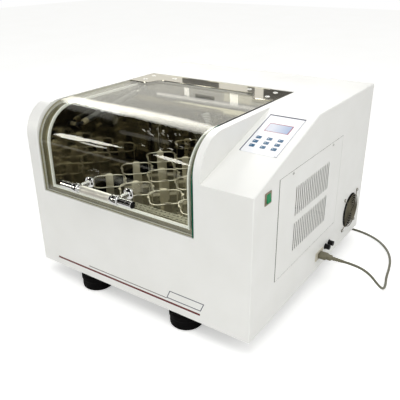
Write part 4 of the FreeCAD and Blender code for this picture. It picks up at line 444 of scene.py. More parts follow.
# each finish: its process, then the light and dark colour (or a sidebar colour's name) and what differs
FINISHES = {
    # powder coat on sheet steel, sprayed and baked: clean white with a soft sheen
    "white_powder_coat": (powder_coat, "cabinet", "#E6E6E1"),
    # hot-dipped zinc on the folded base: mid grey with slow cloudy flowers
    "galvanised_sheet": (rolled_steel, "#A9ABAB", "#8E9192", (0.3, 0.5), (3, 3, 1), 8),
    # stainless sheet, pressed and welded to the chamber: a dim warm mirror that waves
    "stainless_liner": (drawn_steel, "#A9A391", "#7C7666"),
    # stainless sheet, punched and kept flat: a brighter and calmer mirror
    "stainless_duct": (drawn_steel, "#CCC6B2", "#A8A28E", (0.02, 0.06), 0.04),
    # brushed stainless round the lid and at its hinge: dull olive grey
    "stainless_flange": (rolled_steel, "#928D77", "#7F7A65", (0.36, 0.5)),
    # brushed and punched stainless tray: warm grey that still holds the clamps' reflections
    "stainless_tray": (rolled_steel, "#A5A292", "#86826F", (0.28, 0.42)),
    # the same sheet on the sill, a shade darker and smoother
    "stainless_sill": (rolled_steel, "#8E8B7A", "#726F5E", (0.2, 0.34)),
    # stamped and tumbled stainless strip: pale and matt, brushed along its height
    "stainless_clamp": (rolled_steel, "#DAD5C4", "#BDB7A3", (0.5, 0.65), (1, 1, 20)),
    # polished stainless strip at the hinge: a bright mirror
    "polished_strip": (polished_metal, "#D3D0C7", "#C4C0B5", (0.03, 0.07)),
    # chrome plated on turned steel: hard bands of black and white
    "chrome_plate": (polished_metal, "#E4E4E4", "#D6D6D4", (0.06, 0.12)),
    # anodised aluminium, satin-brushed round: one soft pale highlight
    "satin_sleeve": (rolled_steel, "#F0EEE6", "#DEDBD0", (0.48, 0.6), (1, 30, 30)),
    # nickel-plated spring wire, coiled: pale, with a broken shine
    "plated_wire": (polished_metal, "#E2DECF", "#CBC5B3", (0.38, 0.5)),
    # zinc-plated steel screws: bright grey, a little grainy
    "zinc_screw": (cast_metal, "#D0D0CC", "#A9A9A4", 0.8, (0.2, 0.35)),
    # sand-cast aluminium: dull silver, pitted
    "cast_aluminium": (cast_metal, "#B4B4B2", "#989896"),
    # turned aluminium: cleaner silver with a finer skin
    "turned_aluminium": (cast_metal, "#C6C6C6", "#B0B0B0", 0.6, (0.25, 0.4)),
    # stove enamel on a motor's housing: nearly black, low gloss
    "motor_enamel": (moulded, "#26282A", "#1C1E20", (0.3, 0.42), 1.0, 0.02),
    # lacquer sprayed on the strut's tube: brown-black with a long highlight
    "black_lacquer": (moulded, "#211F17", "#181711", (0.26, 0.36), 2.0, 0.004, 1.7),
    # moulded nylon cap of the strut: olive tan with a soft sheen
    "strut_cap": (moulded, "#8D8469", "#786F56", (0.35, 0.5), 0.7, 0.03, 1.35),
    # moulded rubber: deep black with hardly a highlight
    "black_rubber": (moulded, "#080707", "#050404", (0.55, 0.7), 0.9, 0.05, 1.15),
    # moulded silicone: warm white and matt
    "silicone_seal": (moulded, "#FFFFFB", "#F6F5EE", (0.45, 0.6), 1.2, 0.02, 1.41),
    # dark olive grey chalky sheet: painted shade, laid in the gap round the service panel and under the sill
    # strip's holes
    "seal_foam": (moulded, "#58554A", "#484539", (0.8, 0.95), 0.9, 0.08, 1.3),
    # pressed fibre board: straw-coloured and rough
    "fibre_board": (moulded, "#CFC7B0", "#B3AA92", (0.8, 0.95), 1.5, 0.2),
    # moulded ABS: black with a faint sheen; also the painted shade on top of the glass's edge lip
    "black_plastic": (moulded, "#0C0B0B", "#080707", (0.4, 0.52), 0.7, 0.03, 1.25),
    # moulded glass-filled nylon of the fans: brown-black
    "fan_plastic": (moulded, "#1B1A17", "#12110F", (0.4, 0.55)),
    # passivated steel wire: dull and a little yellow-brown
    "guard_wire": (polished_metal, "#7E7969", "#66614F", (0.4, 0.55)),
    # moulded thermoset of the inlet: ivory gone grey
    "inlet_plastic": (moulded, "#C9C4B3", "#BAB4A2", (0.4, 0.52)),
    # moulded nylon bezel of the rocker: olive tan
    "bezel_plastic": (moulded, "#8F8570", "#7D745F", (0.35, 0.5), 0.7, 0.03, 1.35),
    # polished polycarbonate rocker, moulded: strong green with a crisp highlight
    "green_plastic": (moulded, "rocker", "#067A47", (0.2, 0.3), 2.0, 0.005, 1.3),
    # polyester film, printed from behind: cool white and smooth
    "keypad_film": (moulded, "#F3F4F6", "#E9EAEE", (0.3, 0.42), 0.5, 0.006),
    # the same film over the keys' ink: deep blue
    "key_film": (moulded, "keys", "#17506F", (0.32, 0.45), 0.5, 0.006, 1.35),
    # screen-printed inks: flat colour with hardly any relief
    "crimson_print": (moulded, "#A02C4C", "#8E2440", (0.4, 0.5), 0.5, 0.004, 1.35),
    "dark_print": (moulded, "#1A2448", "#151D3C", (0.4, 0.5), 0.5, 0.004, 1.35),
    "brown_print": (moulded, "#43332E", "#382A26", (0.4, 0.5), 0.5, 0.004, 1.35),
    "white_print": (moulded, "#E6F0F4", "#DCE8EE", (0.4, 0.5), 0.5, 0.004),
    # cut vinyl stripe, stuck on: dark red with a low sheen
    "stripe_film": (moulded, "stripe", "#5C1216", (0.35, 0.45), 0.6, 0.004, 1.35),
    # cast acrylic over a lit display: white that turns to sky blue
    "display_face": (display_window, "#E4E7F0", "#A6B9D8"),
    # extruded vinyl sheath of the cord: olive grey with a soft sheen
    "cord_sheath": (moulded, "cord", "#5E5C4C", (0.42, 0.55), 0.8, 0.02, 1.4),
    # moulded vinyl connector: the same grey, a little grainier
    "connector_grey": (moulded, "#77735F", "#66624F", (0.42, 0.55), 0.8, 0.03, 1.4),
    # epoxy laminate under solder mask: dark green and half glossy
    "circuit_laminate": (moulded, "#1E5B3A", "#174A2F", (0.3, 0.4), 2.0, 0.02, 1.55),
    # bent and tempered float glass: nearly colourless through its face
    "tempered_glass": (window_glass, "#FAFBF9"),
    # ground edge of the glass: deep green, as light runs along the sheet
    "glass_edge": (moulded, "#12634C", "#0D5440", (0.1, 0.2), 2.0, 0.01, 1.45),
    # the ground edge that faces the seal: dusty olive
    "glass_edge_dull": (moulded, "#A9A58C", "#979378", (0.2, 0.3), 2.0, 0.01, 1.45),
}
MATERIALS = {}


def finish(name):
    """The material of that name, made when it is first asked for."""
    if name not in MATERIALS:
        process, *values = FINISHES[name]
        MATERIALS[name] = process(name, *values)
    return MATERIALS[name]


# carried solids that keep their shape, by finish
CARRIED = {
    "white_powder_coat": ("cabinet_shell", "rear_panel"),
    "galvanised_sheet": ("base_pan",),
    "stainless_liner": ("chamber_liner", "air_heater"),
    "stainless_flange": ("rim_flange", "lid_hinge", "strut_lid_bracket"),
    "fibre_board": ("insulation",),
    "motor_enamel": ("circulation_fan_motor", "drive_motor"),
    "turned_aluminium": ("circulation_fan", "drive_frame", "motor_pulley"),
    "cast_aluminium": ("drive_crank", "idler_crank_left", "idler_crank_right", "platform_frame"),
    "chrome_plate": ("temperature_probe",),
    "polished_strip": ("lid_hinge_strip",),
    "fan_plastic": ("side_fan_frame", "side_fan_impeller"),
    "inlet_plastic": ("power_inlet",),
    "black_plastic": ("fuse_holders",),
    "bezel_plastic": ("switch_bezel",),
    "green_plastic": ("power_rocker",),
    "keypad_film": ("keypad_plate",),
    "key_film": tuple(f"key_{k}" for k in range(1, 10)),
    "display_face": ("display_window",),
    "circuit_laminate": ("control_electronics",),
    "black_rubber": ("drive_belt",),
}


# ---------------------------------------------------------------- sizes and colours of the sidebar

class ShakerSizes(bpy.types.PropertyGroup):
    """Sizes that a user may change."""
    cord_width: FloatProperty(name="Cord", description="Diameter of the mains cord", default=0.007,
                              min=0.005, max=0.009, unit="LENGTH")
    tray_pitch: FloatProperty(name="Tray holes", description="Distance between the tray's holes",
                              default=0.0205, min=0.012, max=0.04, unit="LENGTH")
    tray_hole: FloatProperty(name="Tray hole", description="Diameter of the tray's holes", default=0.0056,
                             min=0.003, max=0.009, unit="LENGTH")
    spring_width: FloatProperty(name="Clamp spring", description="Diameter of the coiled clamp springs",
                                default=0.0042, min=0.002, max=0.006, unit="LENGTH")
    stripe_height: FloatProperty(name="Stripe", description="Height of the stripe across the front",
                                 default=0.0058, min=0.001, max=0.01, unit="LENGTH")
    guard_rings: IntProperty(name="Guard rings", description="Rings of each fan guard",
                             default=7, min=2, max=8)


class ShakerColours(bpy.types.PropertyGroup):
    """Colours that a user may change."""
    cabinet: FloatVectorProperty(name="Cabinet", description="Powder coat", subtype="COLOR",
                                 default=linear("#EFEFEC"), min=0, max=1)
    stripe: FloatVectorProperty(name="Stripe", description="Stripe across the front", subtype="COLOR",
                                default=linear("#6A1016"), min=0, max=1)
    keys: FloatVectorProperty(name="Keys", description="Printed keys", subtype="COLOR",
                              default=linear("#1C5C84"), min=0, max=1)
    rocker: FloatVectorProperty(name="Rocker", description="Power rocker", subtype="COLOR",
                                default=linear("#0A8C54"), min=0, max=1)
    cord: FloatVectorProperty(name="Cord", description="Mains cord", subtype="COLOR",
                              default=linear("#6B6A58"), min=0, max=1)


class SHAKER_OT_stage(bpy.types.Operator):
    """Camera, floor, soft studio light and pale background"""
    bl_idname = "shaker.stage"
    bl_label = "Camera and stage"

    LENS, SENSOR = 47.19, 36
    CAMERA = Vector((0.824334, -1.215246, 0.882266))
    RIGHT = Vector((0.82309327, 0.56781207, -0.01034039))
    UP = Vector((-0.23001252, 0.34996039, 0.90808698))
    BACK = Vector((0.51924147, -0.74506187, 0.41865393))
    # name, place, target, width, height and watts; the rear strip shows in mirrors and lights nothing matt
    LAMPS = (("overhead", (0.5, -1.1, 3.3), (0, 0, 0.3), 2.8, 2.2, 36),
             ("fill", (2.6, -0.7, 1.9), (0.2, 0, 0.3), 1.5, 1.3, 14),
             ("front_fill", (0.0, -3.1, 1.1), (-0.1, 0, 0.25), 2.2, 1.6, 11),
             ("rear_strip", (-1.9, 2.2, 2.6), (-0.1, -0.25, 0.5), 3.6, 0.9, 120))
    ARC_Y, ARC_Z = -0.26, 0.42            # the middle line of the arcs that the bent cards stand on
    DARK_RADIUS, DARK_TONE = 1.0, 0.012
    DARK_FROM, DARK_SPAN, DARK_STEPS = 55, 183, 20
    # name, tone, radius, and rows of x and turns in degrees, where 90 is above and 180 in front
    BENT_CARDS = (
        ("ceiling_band", 3.8, 0.95, ((-1.8, (30, 42, 43)), (-1.07, (30, 42, 47)), (-0.77, (30, 42, 56)),
                                     (-0.5, (30, 42, 66)), (-0.22, (30, 42, 72)))),
        ("ceiling_shade", 0.45, 0.92, ((-1.5, (45, 61, 75)), (-1.07, (48, 64, 78)), (-0.85, (55, 71, 85)))),
        ("streak_left", 9.0, 0.9, ((-1.17, (161, 163)), (-1.12, (155.5, 167.5)), (-1.02, (153, 166)),
                                   (-0.96, (154, 162)), (-0.86, (152.5, 160.5)), (-0.78, (153.5, 157.5)),
                                   (-0.73, (154.5, 155.5)))),
        ("streak_low", 6.0, 0.9, ((-1.0, (167.4, 168.6)), (-0.95, (165.3, 169.7)), (-0.86, (164.8, 169.2)),
                                  (-0.82, (165.9, 167.1)))),
        ("streak_right", 8.0, 0.9, ((-0.55, (153.4, 154.6)), (-0.5, (151, 159)), (-0.42, (152.5, 161.5)),
                                    (-0.36, (159, 161)))),
        ("high_window", 0.5, 0.9, ((-0.76, (109, 119)), (-0.48, (109, 119)))),
        ("low_line", 0.7, 0.9, ((-1.5, (189, 195)), (0.2, (189, 195)))))
    FAR_LAMPS, FAR_RADIUS, SEED = 30, 0.88, 11
    # name, tone, y, x from and to, z from and to
    BACK_CARDS = (("rear_wall", 0.92, 1.7, -3.4, 0.4, 0.55, 1.5),
                  ("hinge_bar", 0.16, 1.6, -1.27, -0.98, 0.86, 0.95),
                  ("thin_bar", 0.25, 1.6, -0.77, -0.72, 0.86, 0.96),
                  ("corner_bar", 0.12, 1.6, -0.66, -0.3, 0.86, 0.965),
                  ("low_bar", 0.3, 1.6, -1.17, -1.02, 1.01, 1.04),
                  ("window_left", 2.0, 1.6, -1.26, -1.22, 0.97, 1.035),
                  ("window_right", 2.0, 1.6, -0.90, -0.84, 0.965, 1.05),
                  ("sill", 1.7, 1.6, -1.5, -0.72, 1.045, 1.065))
    # the band that ends the mirrored wall: tone, y, top, and x with the z of its lower edge
    BAND_TONE, BAND_Y, BAND_TOP = 3.0, 1.65, 1.75
    BAND_EDGE = ((-3.4, 1.232), (-1.75, 1.236), (-1.3, 1.25), (-1.1, 1.265))
    WARM_WHITE = (1.0, 0.972, 0.885, 1)
    CHAMBER_TONE, CHAMBER_DEPTH = 1.5, (2.5, 3.5)
    FLOOR_HALF, FLOOR_LIFT, FLOOR_CLOUD = 9.0, 0.45, (400, 2, EVEN)
    STUDIO_LIGHT = 0.59

    def execute(self, context):
        scene = context.scene
        self.camera(scene)
        self.floor(scene)
        self.world(scene)
        for name, place, target, width, height, power in self.LAMPS:
            self.lamp(scene, name, place, target, width, height, power).visible_diffuse = name != "rear_strip"
        turns = [self.DARK_FROM + self.DARK_SPAN * k / self.DARK_STEPS for k in range(self.DARK_STEPS + 1)]
        bend = [self.arc(0, turn, self.DARK_RADIUS) for turn in turns]
        rows = [[(x, y, max(z, 0.01)) for x in (-1.8, 0.25)] for _, y, z in bend]
        self.card(scene, "dark_card", rows, self.DARK_TONE)
        for name, tone, radius, rows in self.BENT_CARDS:
            self.card(scene, name, [[self.arc(x, turn, radius) for turn in turns] for x, turns in rows], tone)
        self.far_lamps(scene)
        for name, tone, y, x0, x1, z0, z1 in self.BACK_CARDS:
            self.card(scene, name, [[(x0, y, z0), (x1, y, z0)], [(x0, y, z1), (x1, y, z1)]], tone)
        rows = [[(x, self.BAND_Y, z), (x, self.BAND_Y, self.BAND_TOP)] for x, z in self.BAND_EDGE]
        self.card(scene, "band_start", rows, self.BAND_TONE)
        scene.view_settings.view_transform = "Standard"
        return {"FINISHED"}

    def camera(self, scene):
        """The camera with its lens."""
        lens = bpy.data.cameras.new("camera")
        lens.lens = self.LENS
        lens.sensor_width = self.SENSOR
        made = bpy.data.objects.new("camera", lens)
        turn = Matrix((self.RIGHT, self.UP, self.BACK)).transposed().to_4x4()
        made.matrix_world = Matrix.Translation(self.CAMERA) @ turn
        scene.collection.objects.link(made)
        scene.camera = made

    @staticmethod
    def lamp(scene, name, place, target, width, height, power):
        """Soft box that faces a point."""
        data = bpy.data.lights.new(name, "AREA")
        data.shape = "RECTANGLE"
        data.size, data.size_y, data.energy = width, height, power
        made = bpy.data.objects.new(name, data)
        made.location = place
        made.rotation_euler = (Vector(target) - Vector(place)).to_track_quat("-Z", "Y").to_euler()
        scene.collection.objects.link(made)
        return made

    def arc(self, x, turn, radius):
        """A point on an arc over the object, from the back over the top to the front."""
        turn = math.radians(turn)
        return (x, self.ARC_Y + radius * math.cos(turn), self.ARC_Z + radius * math.sin(turn))

    def far_lamps(self, scene):
        """Small far lamps, which the bent glass shows as specks."""
        draw = random.Random(self.SEED)
        for k in range(self.FAR_LAMPS):
            x, turn = draw.uniform(-0.62, -0.2), draw.uniform(84, 138)
            half, wide = draw.uniform(0.003, 0.006), draw.uniform(1.0, 1.9)
            rows = [[self.arc(x + side * half, turn + a, self.FAR_RADIUS) for a in (-wide, wide)]
                    for side in (-1, 1)]
            self.card(scene, f"far_lamp_{k + 1}", rows, draw.uniform(2.0, 8.0))

    def card(self, scene, name, rows, tone):
        """Card of rows of points that only mirrors see, as a studio puts round chrome and glass.

        A mirror inside the chamber looks at it through the lid, whose clear faces a ray has then passed
        more than twice; from there it has the open room's tone in place of its own.
        """
        mesh = bpy.data.meshes.new(name)
        n = len(rows[0])
        faces = [(n * k + m, n * k + m + 1, n * k + n + m + 1, n * k + n + m)
                 for k in range(len(rows) - 1) for m in range(n - 1)]
        mesh.from_pydata([point for row in rows for point in row], [], faces)
        made = bpy.data.objects.new(name, mesh)
        scene.collection.objects.link(made)
        for ray in ("camera", "diffuse", "transmission", "shadow", "volume_scatter"):
            setattr(made, "visible_" + ray, False)
        material, tree, _, _ = start(name)
        path = add(tree, "ShaderNodeLightPath")
        near, deep = self.CHAMBER_DEPTH
        strength = add(tree, "ShaderNodeMapRange",
                       {"From Min": near, "From Max": deep, "To Min": tone, "To Max": self.CHAMBER_TONE},
                       {"Value": path.outputs["Transparent Depth"]})
        flat = add(tree, "ShaderNodeEmission", {"Color": self.WARM_WHITE},
                   {"Strength": strength.outputs["Result"]})
        add(tree, "ShaderNodeOutputMaterial", links={"Surface": flat.outputs[0]})
        mesh.materials.append(material)

    def floor(self, scene):
        """Pale floor; it keeps the shadow and is lifted a little for the eye."""
        mesh = bpy.data.meshes.new("floor")
        half = self.FLOOR_HALF
        mesh.from_pydata([(-half, -half, 0), (half, -half, 0), (half, half, 0), (-half, half, 0)], [],
                         [(0, 1, 2, 3)])
        made = bpy.data.objects.new("floor", mesh)
        scene.collection.objects.link(made)
        material, tree, _, noise = start("pale_floor", self.FLOOR_CLOUD)
        tone = add(tree, "ShaderNodeMix", {"A": rgba("#F7F7F6"), "B": rgba("#F3F3F1")},
                   {"Factor": noise[self.FLOOR_CLOUD]}, data_type="RGBA").outputs["Result"]
        matt = add(tree, "ShaderNodeBsdfDiffuse", links={"Color": tone})
        lift = add(tree, "ShaderNodeEmission", {"Strength": self.FLOOR_LIFT}, {"Color": tone})
        seen = add(tree, "ShaderNodeLightPath")
        either = add(tree, "ShaderNodeMath", operation="MAXIMUM",
                     links={0: seen.outputs["Is Camera Ray"], 1: seen.outputs["Is Transmission Ray"]})
        both = add(tree, "ShaderNodeAddShader", links={0: matt.outputs[0], 1: lift.outputs[0]})
        pick = add(tree, "ShaderNodeMixShader",
                   links={0: either.outputs[0], 1: matt.outputs[0], 2: both.outputs[0]})
        add(tree, "ShaderNodeOutputMaterial", links={"Surface": pick.outputs[0]})
        mesh.materials.append(material)

    def world(self, scene):
        """Even studio light; eye, mirrors and glass see a white background."""
        scene.world = bpy.data.worlds.new("studio")
        scene.world.use_nodes = True
        tree = scene.world.node_tree
        tree.nodes.clear()
        seen = add(tree, "ShaderNodeLightPath")
        first = add(tree, "ShaderNodeMath", operation="MAXIMUM",
                    links={0: seen.outputs["Is Camera Ray"], 1: seen.outputs["Is Glossy Ray"]})
        any_ray = add(tree, "ShaderNodeMath", operation="MAXIMUM",
                      links={0: first.outputs[0], 1: seen.outputs["Is Transmission Ray"]})
        lit = add(tree, "ShaderNodeBackground", {"Color": (1, 1, 1, 1), "Strength": self.STUDIO_LIGHT})
        white = add(tree, "ShaderNodeBackground", {"Color": (1, 1, 1, 1), "Strength": 1.0})
        pick = add(tree, "ShaderNodeMixShader",
                   links={0: any_ray.outputs[0], 1: lit.outputs[0], 2: white.outputs[0]})
        add(tree, "ShaderNodeOutputWorld", links={"Surface": pick.outputs[0]})


class SHAKER_OT_cord(bpy.types.Operator):
    """Mains cord with its stored coil, the appliance connector and the plug"""
    bl_idname = "shaker.cord"
    bl_label = "Mains cord"

    # the route in metres, from the connector to the coil
    ROUTE = [(0.4285, 0.06325, 0.096), (0.467, 0.06325, 0.096), (0.503, 0.068, 0.079), (0.526, 0.083, 0.043),
             (0.534, 0.114, 0.014), (0.531, 0.153, 0.0036), (0.519, 0.200, 0.0036), (0.512, 0.254, 0.0036),
             (0.499, 0.312, 0.0036), (0.471, 0.368, 0.0036), (0.427, 0.414, 0.0036), (0.371, 0.440, 0.0036),
             (0.314, 0.445, 0.0036), (0.257, 0.437, 0.0036), (0.200, 0.432, 0.0036)]
    # the coil in metres: two turns inward on the floor, a rise, and turns outward on top
    COIL = Vector((0.170, 0.472, 0))
    FLOOR, UPPER = 0.0036, 0.0106
    OUTER, INNER, STEP = 0.047, 0.033, 0.007
    FLOOR_END, RISE_END, COIL_END = 720, 820, 1620    # degrees turned
    TURN_POINTS = 14
    # off the coil and down to the plug's relief
    LEAVE, LEAVE_RISE, PLUG_END = (0.186, 0.5132), 0.0008, (0.2013, 0.512, 0.0131)
    RELIEF_RINGS = 5

    def execute(self, context):
        sizes = context.scene.shaker_sizes
        points = [Vector(p) for p in self.ROUTE] + self.coil()
        points += [Vector((*self.LEAVE, points[-1].z + self.LEAVE_RISE)), Vector(self.PLUG_END)]
        curve = bpy.data.curves.new("mains_cord", "CURVE")
        curve.dimensions = "3D"
        curve.bevel_depth = sizes.cord_width / 2
        curve.bevel_resolution = 5
        curve.resolution_u = 8
        curve.use_fill_caps = True
        line = curve.splines.new("NURBS")
        line.points.add(len(points) - 1)
        for knot, point in zip(line.points, points):
            knot.co = (*point, 1)
        line.order_u = 3
        line.use_endpoint_u = True
        curve.materials.append(finish("cord_sheath"))
        cord = bpy.data.objects.new("mains_cord", curve)
        context.scene.collection.objects.link(cord)
        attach(cord, "cabinet")
        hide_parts("cord_tube", "cord_coil")
        connector, plug = self.connector(), self.plug()
        return {"FINISHED"}

    def coil(self):
        """Points of the coil, clockwise from the side that faces the front."""
        points = []
        step = 360 / self.TURN_POINTS
        for k in range(int(self.COIL_END / step) + 1):
            turned = k * step
            if turned <= self.FLOOR_END:
                radius, height = self.OUTER - self.STEP * turned / 360, self.FLOOR
            else:
                rise = min((turned - self.FLOOR_END) / (self.RISE_END - self.FLOOR_END), 1)
                height = self.FLOOR + (self.UPPER - self.FLOOR) * rise * rise * (3 - 2 * rise)
                radius = self.INNER + self.STEP * max(turned - self.RISE_END, 0) / 360
            angle = math.radians(-90 - turned)
            points.append(self.COIL + Vector((radius * math.cos(angle), radius * math.sin(angle), height)))
        return points

    def relief(self, bm, base, axis, wide, narrow, length):
        """Tapered strain relief with ring grooves."""
        profile = [(0, 0), (wide, 0)]
        for k in range(self.RELIEF_RINGS):
            a, b = (k + 0.35) / self.RELIEF_RINGS * length, (k + 0.75) / self.RELIEF_RINGS * length
            r_a, r_b = wide + (narrow - wide) * a / length, wide + (narrow - wide) * b / length
            profile += [(r_a, a), (r_a * 0.84, a + 0.8), (r_b * 0.84, b - 0.8), (r_b, b)]
        profile += [(narrow, length - 0.6), (narrow - 0.6, length), (0, length)]
        lathe(bm, profile, base, axis, 28)

    def connector(self):
        """Appliance connector with grip ribs and its relief."""
        low, high = box_of("cord_connector")
        y, z = (low.y + high.y) / 2, (low.z + high.z) / 2
        bm = bmesh.new()
        block(bm, (low.x, y - 12, z - 8.2), (WIDTH + 3.2, y + 12, z + 8.2), 0.8)
        block(bm, (WIDTH + 2.8, y - 13, z - 6.8), (WIDTH + 26, y + 13, z + 6.8), 2.6, 4)
        block(bm, (WIDTH + 24, y - 9, z - 6.2), (WIDTH + 40, y + 9, z + 6.2), 3.0, 4)
        for k in range(4):
            x = WIDTH + 7 + 4.4 * k
            block(bm, (x, y - 13.6, z - 5), (x + 1.8, y + 13.6, z + 5), 0.6)
        self.relief(bm, (WIDTH + 39, y, z), X, 6.0, 4.2, 37)
        return piece("appliance_connector", bm, "cabinet", ("connector_grey",),
                     ["cord_connector"])

    def plug(self):
        """Three-pin plug beside the coil, with its pins to the right."""
        low, high = box_of("mains_plug")
        x, y, z = low.x + 26, (low.y + high.y) / 2, (low.z + high.z) / 2
        bm = bmesh.new()
        block(bm, (x, y - 18.6, z - 13), (x + 46, y + 18.6, z + 13), 4.5, 4)
        for k in range(5):
            rib = x + 8 + 5 * k
            block(bm, (rib, y - 19, z - 8), (rib + 2, y + 19, z + 8), 0.6)
        self.relief(bm, (x + 1, y, z), -X, 7.4, 4.4, 27)
        for side in (-1, 1):
            slant = Matrix.Rotation(math.radians(30 * side), 4, "X")
            place = Matrix.Translation((x, y + side * 7, z + 3)) @ slant
            block(bm, (44, -1, -3), (63, 1, 3), 0.5, 2, 1, place)
        block(bm, (x + 44, y - 1, z - 10), (x + 66, y + 1, z - 3), 0.5, 2, 1)
        return piece("lead_plug", bm, "cabinet", ("cord_sheath", "zinc_screw"), ["mains_plug"])


class SHAKER_OT_cabinet(bpy.types.Operator):
    """Finishes of every carried solid"""
    bl_idname = "shaker.cabinet"
    bl_label = "Cabinet and carried solids"

    def execute(self, context):
        for name, nodes in CARRIED.items():
            for node in nodes:
                for slot in NODES[node].material_slots:
                    slot.link = "OBJECT"
                    slot.material = finish(name)
        return {"FINISHED"}


class SHAKER_OT_feet(bpy.types.Operator):
    """Four turned rubber feet"""
    bl_idname = "shaker.feet"
    bl_label = "Rubber feet"

    LEFT, RIGHT, INSET = 181, 507, 42
    # from the floor up, past the shoulder, to the cabinet's underside
    PROFILE = [(0, -50), (38, -50), (42.5, -49), (45, -46), (45.6, -42), (45.4, -26), (46.2, -22.5),
               (47.4, -20), (47.5, -9.5), (46.6, -7.6), (44.5, -6.6), (44, -5.4), (43.6, 0), (0, 0)]

    def execute(self, context):
        bm = bmesh.new()
        for x in (self.LEFT, self.RIGHT):
            for y in (self.INSET, DEPTH - self.INSET):
                lathe(bm, self.PROFILE, (x, y, 0), Z, 64)
        piece("moulded_feet", bm, "cabinet", ("black_rubber",), ["rubber_feet"], 24)
        return {"FINISHED"}


class SHAKER_OT_lid(bpy.types.Operator):
    """Bent glass with green edges, the strip's screws and the handle"""
    bl_idname = "shaker.lid"
    bl_label = "Lid and handle"

    GLASS_LOW, GLASS_HIGH = box_of("lid_glass")
    LEFT, FACE, LOW = GLASS_LOW           # the outer face lies inside the cabinet's front by FACE
    RIGHT, BACK = GLASS_HIGH.xy
    BEND, THICK, ARRIS = 110.0, 5.0, 0.7
    LIP, LIP_LOW, LIP_HIGH = 1.8, 1.7, 0.2
    LIP_SHORT, LIP_DARK = 108, 150        # the lip ends this far before the glass, and beyond this y it is dark as painted shade of the gap
    SCREWS = [(76.5, 470), (161.5, 470), (522, 470), (437, 470), (83.5, 418), (524, 418)]
    STRUT_SCREW = 4                       # this one also holds the strut's bracket
    HANDLE_HALF, GROOVE, POST_SPACING = 120.0, 52, 135.0

    def execute(self, context):
        self.glass()
        self.trim()
        self.screws()
        self.handle()
        return {"FINISHED"}

    def section(self, inset, steps=28):
        """Points of the bent section at an inset from the cabinet's faces, from the low edge to the back."""
        radius = self.BEND - inset
        centre = Vector((0, self.BEND, HEIGHT - self.BEND))
        points = [Vector((0, inset, self.LOW))]
        for k in range(steps + 1):
            turn = math.radians(90 * k / steps)
            points.append(centre + Vector((0, -radius * math.cos(turn), radius * math.sin(turn))))
        return points + [Vector((0, self.BACK, HEIGHT - inset))]

    def glass(self):
        """Bent sheet whose edges are ground to a small arris; the right edge is green, the others dull."""
        outer, inner = self.section(self.FACE), self.section(self.FACE + self.THICK)
        left, right, arris = X * self.LEFT, X * self.RIGHT, self.ARRIS
        ends = {0: Z * arris, len(outer) - 1: -Y * arris}
        bm = bmesh.new()
        rings = []
        for k, (a, b) in enumerate(zip(outer, inner)):
            in_wall = (b - a).normalized() * arris
            shift = ends.get(k, Vector())
            row = [left + X * arris + a, right - X * arris + a, right + a + in_wall + shift,
                   right + b - in_wall + shift, right - X * arris + b, left + X * arris + b,
                   left + b - in_wall + shift, left + a + in_wall + shift]
            rings.append([bm.verts.new(p) for p in row])
        for a, b in zip(rings, rings[1:]):
            for k, material in enumerate((0, 1, 1, 1, 0, 2, 2, 2)):
                face = bm.faces.new([a[k], a[(k + 1) % 8], b[(k + 1) % 8], b[k]])
                face.material_index = material
        for ring in (rings[0], rings[-1]):
            bm.faces.new(ring).material_index = 2
        piece("bent_glass", bm, "lid", ("tempered_glass", "glass_edge", "glass_edge_dull"),
              ["lid_glass"], 20)

    def trim(self):
        """Lip on the right edge of the glass: dark on top as painted shade of the gap beside it, clear green
        round the bend and down the front.
        """
        low, high = self.RIGHT - self.LIP_LOW, self.RIGHT - self.LIP_HIGH
        outer, inner = self.section(-self.LIP), self.section(self.FACE)
        for line in (outer, inner):
            line[-1] = line[-1] - Y * self.LIP_SHORT
        bm = bmesh.new()
        rings = []
        for a, b in zip(outer, inner):
            rings.append([bm.verts.new((x, p.y, p.z)) for x, p in ((low, a), (high, a), (high, b), (low, b))])
        skin(bm, rings, capped=True)
        for face in bm.faces:
            if face.calc_center_median().y > self.LIP_DARK:
                face.material_index = 1
        piece("edge_lip", bm, "lid", ("glass_edge", "black_plastic"), (), 30)

    def screws(self):
        """Pan heads with a cross recess on light washers, and their nuts under the glass."""
        bm = bmesh.new()
        top = box_of("lid_hinge_strip")[1].z
        washer = [(2.2, 0), (6.6, 0), (7, 0.2), (7, 0.7), (6.7, 0.9), (2.2, 0.9)]
        nut = [(0, -2.6), (3.4, -2.6), (3.8, -2.2), (3.8, 0), (0, 0)]
        for k, (x, y) in enumerate(self.SCREWS):
            grip = 9 if k == self.STRUT_SCREW else 7
            lathe(bm, washer, (x, y, top), Z, 36, 1)
            cross_head(bm, (x, y, top + 0.9), Z, 4.3, 1.4, 15 * k)
            lathe(bm, [(0, 0), (1.9, 0), (1.9, grip + 3), (0, grip + 3)], (x, y, top - grip - 3), Z, 12)
            lathe(bm, nut, (x, y, top - grip + 0.5), Z, 6)
        piece("strip_screw_set", bm, "lid", ("zinc_screw", "silicone_seal"), ["strip_screws"])

    def handle(self):
        """Chrome bar with two grooves, its sleeve and end plugs, on two turned posts with saddles."""
        half = self.HANDLE_HALF
        middle = middle_of("handle_sleeve")
        bar = [(0, -half), (9.0, -half), (9.5, -half + 0.6)]
        for groove in (-self.GROOVE, self.GROOVE):
            bar += [(9.5, groove - 1.4), (8.7, groove - 0.9), (8.7, groove + 0.9), (9.5, groove + 1.4)]
        bar += [(9.5, half - 0.6), (9.0, half), (0, half)]
        bm = bmesh.new()
        lathe(bm, bar, middle, X, 56)
        piece("handle_cross_bar", bm, "lid", ("chrome_plate",), ["handle_bar"], 26)

        bm = bmesh.new()
        sleeve = [(8.9, -50), (9.7, -50), (10.15, -49.4), (10.15, 49.4), (9.7, 50), (8.9, 50)]
        lathe(bm, sleeve, middle, X, 56)
        piece("handle_grip", bm, "lid", ("satin_sleeve",), ["handle_sleeve"], 26)

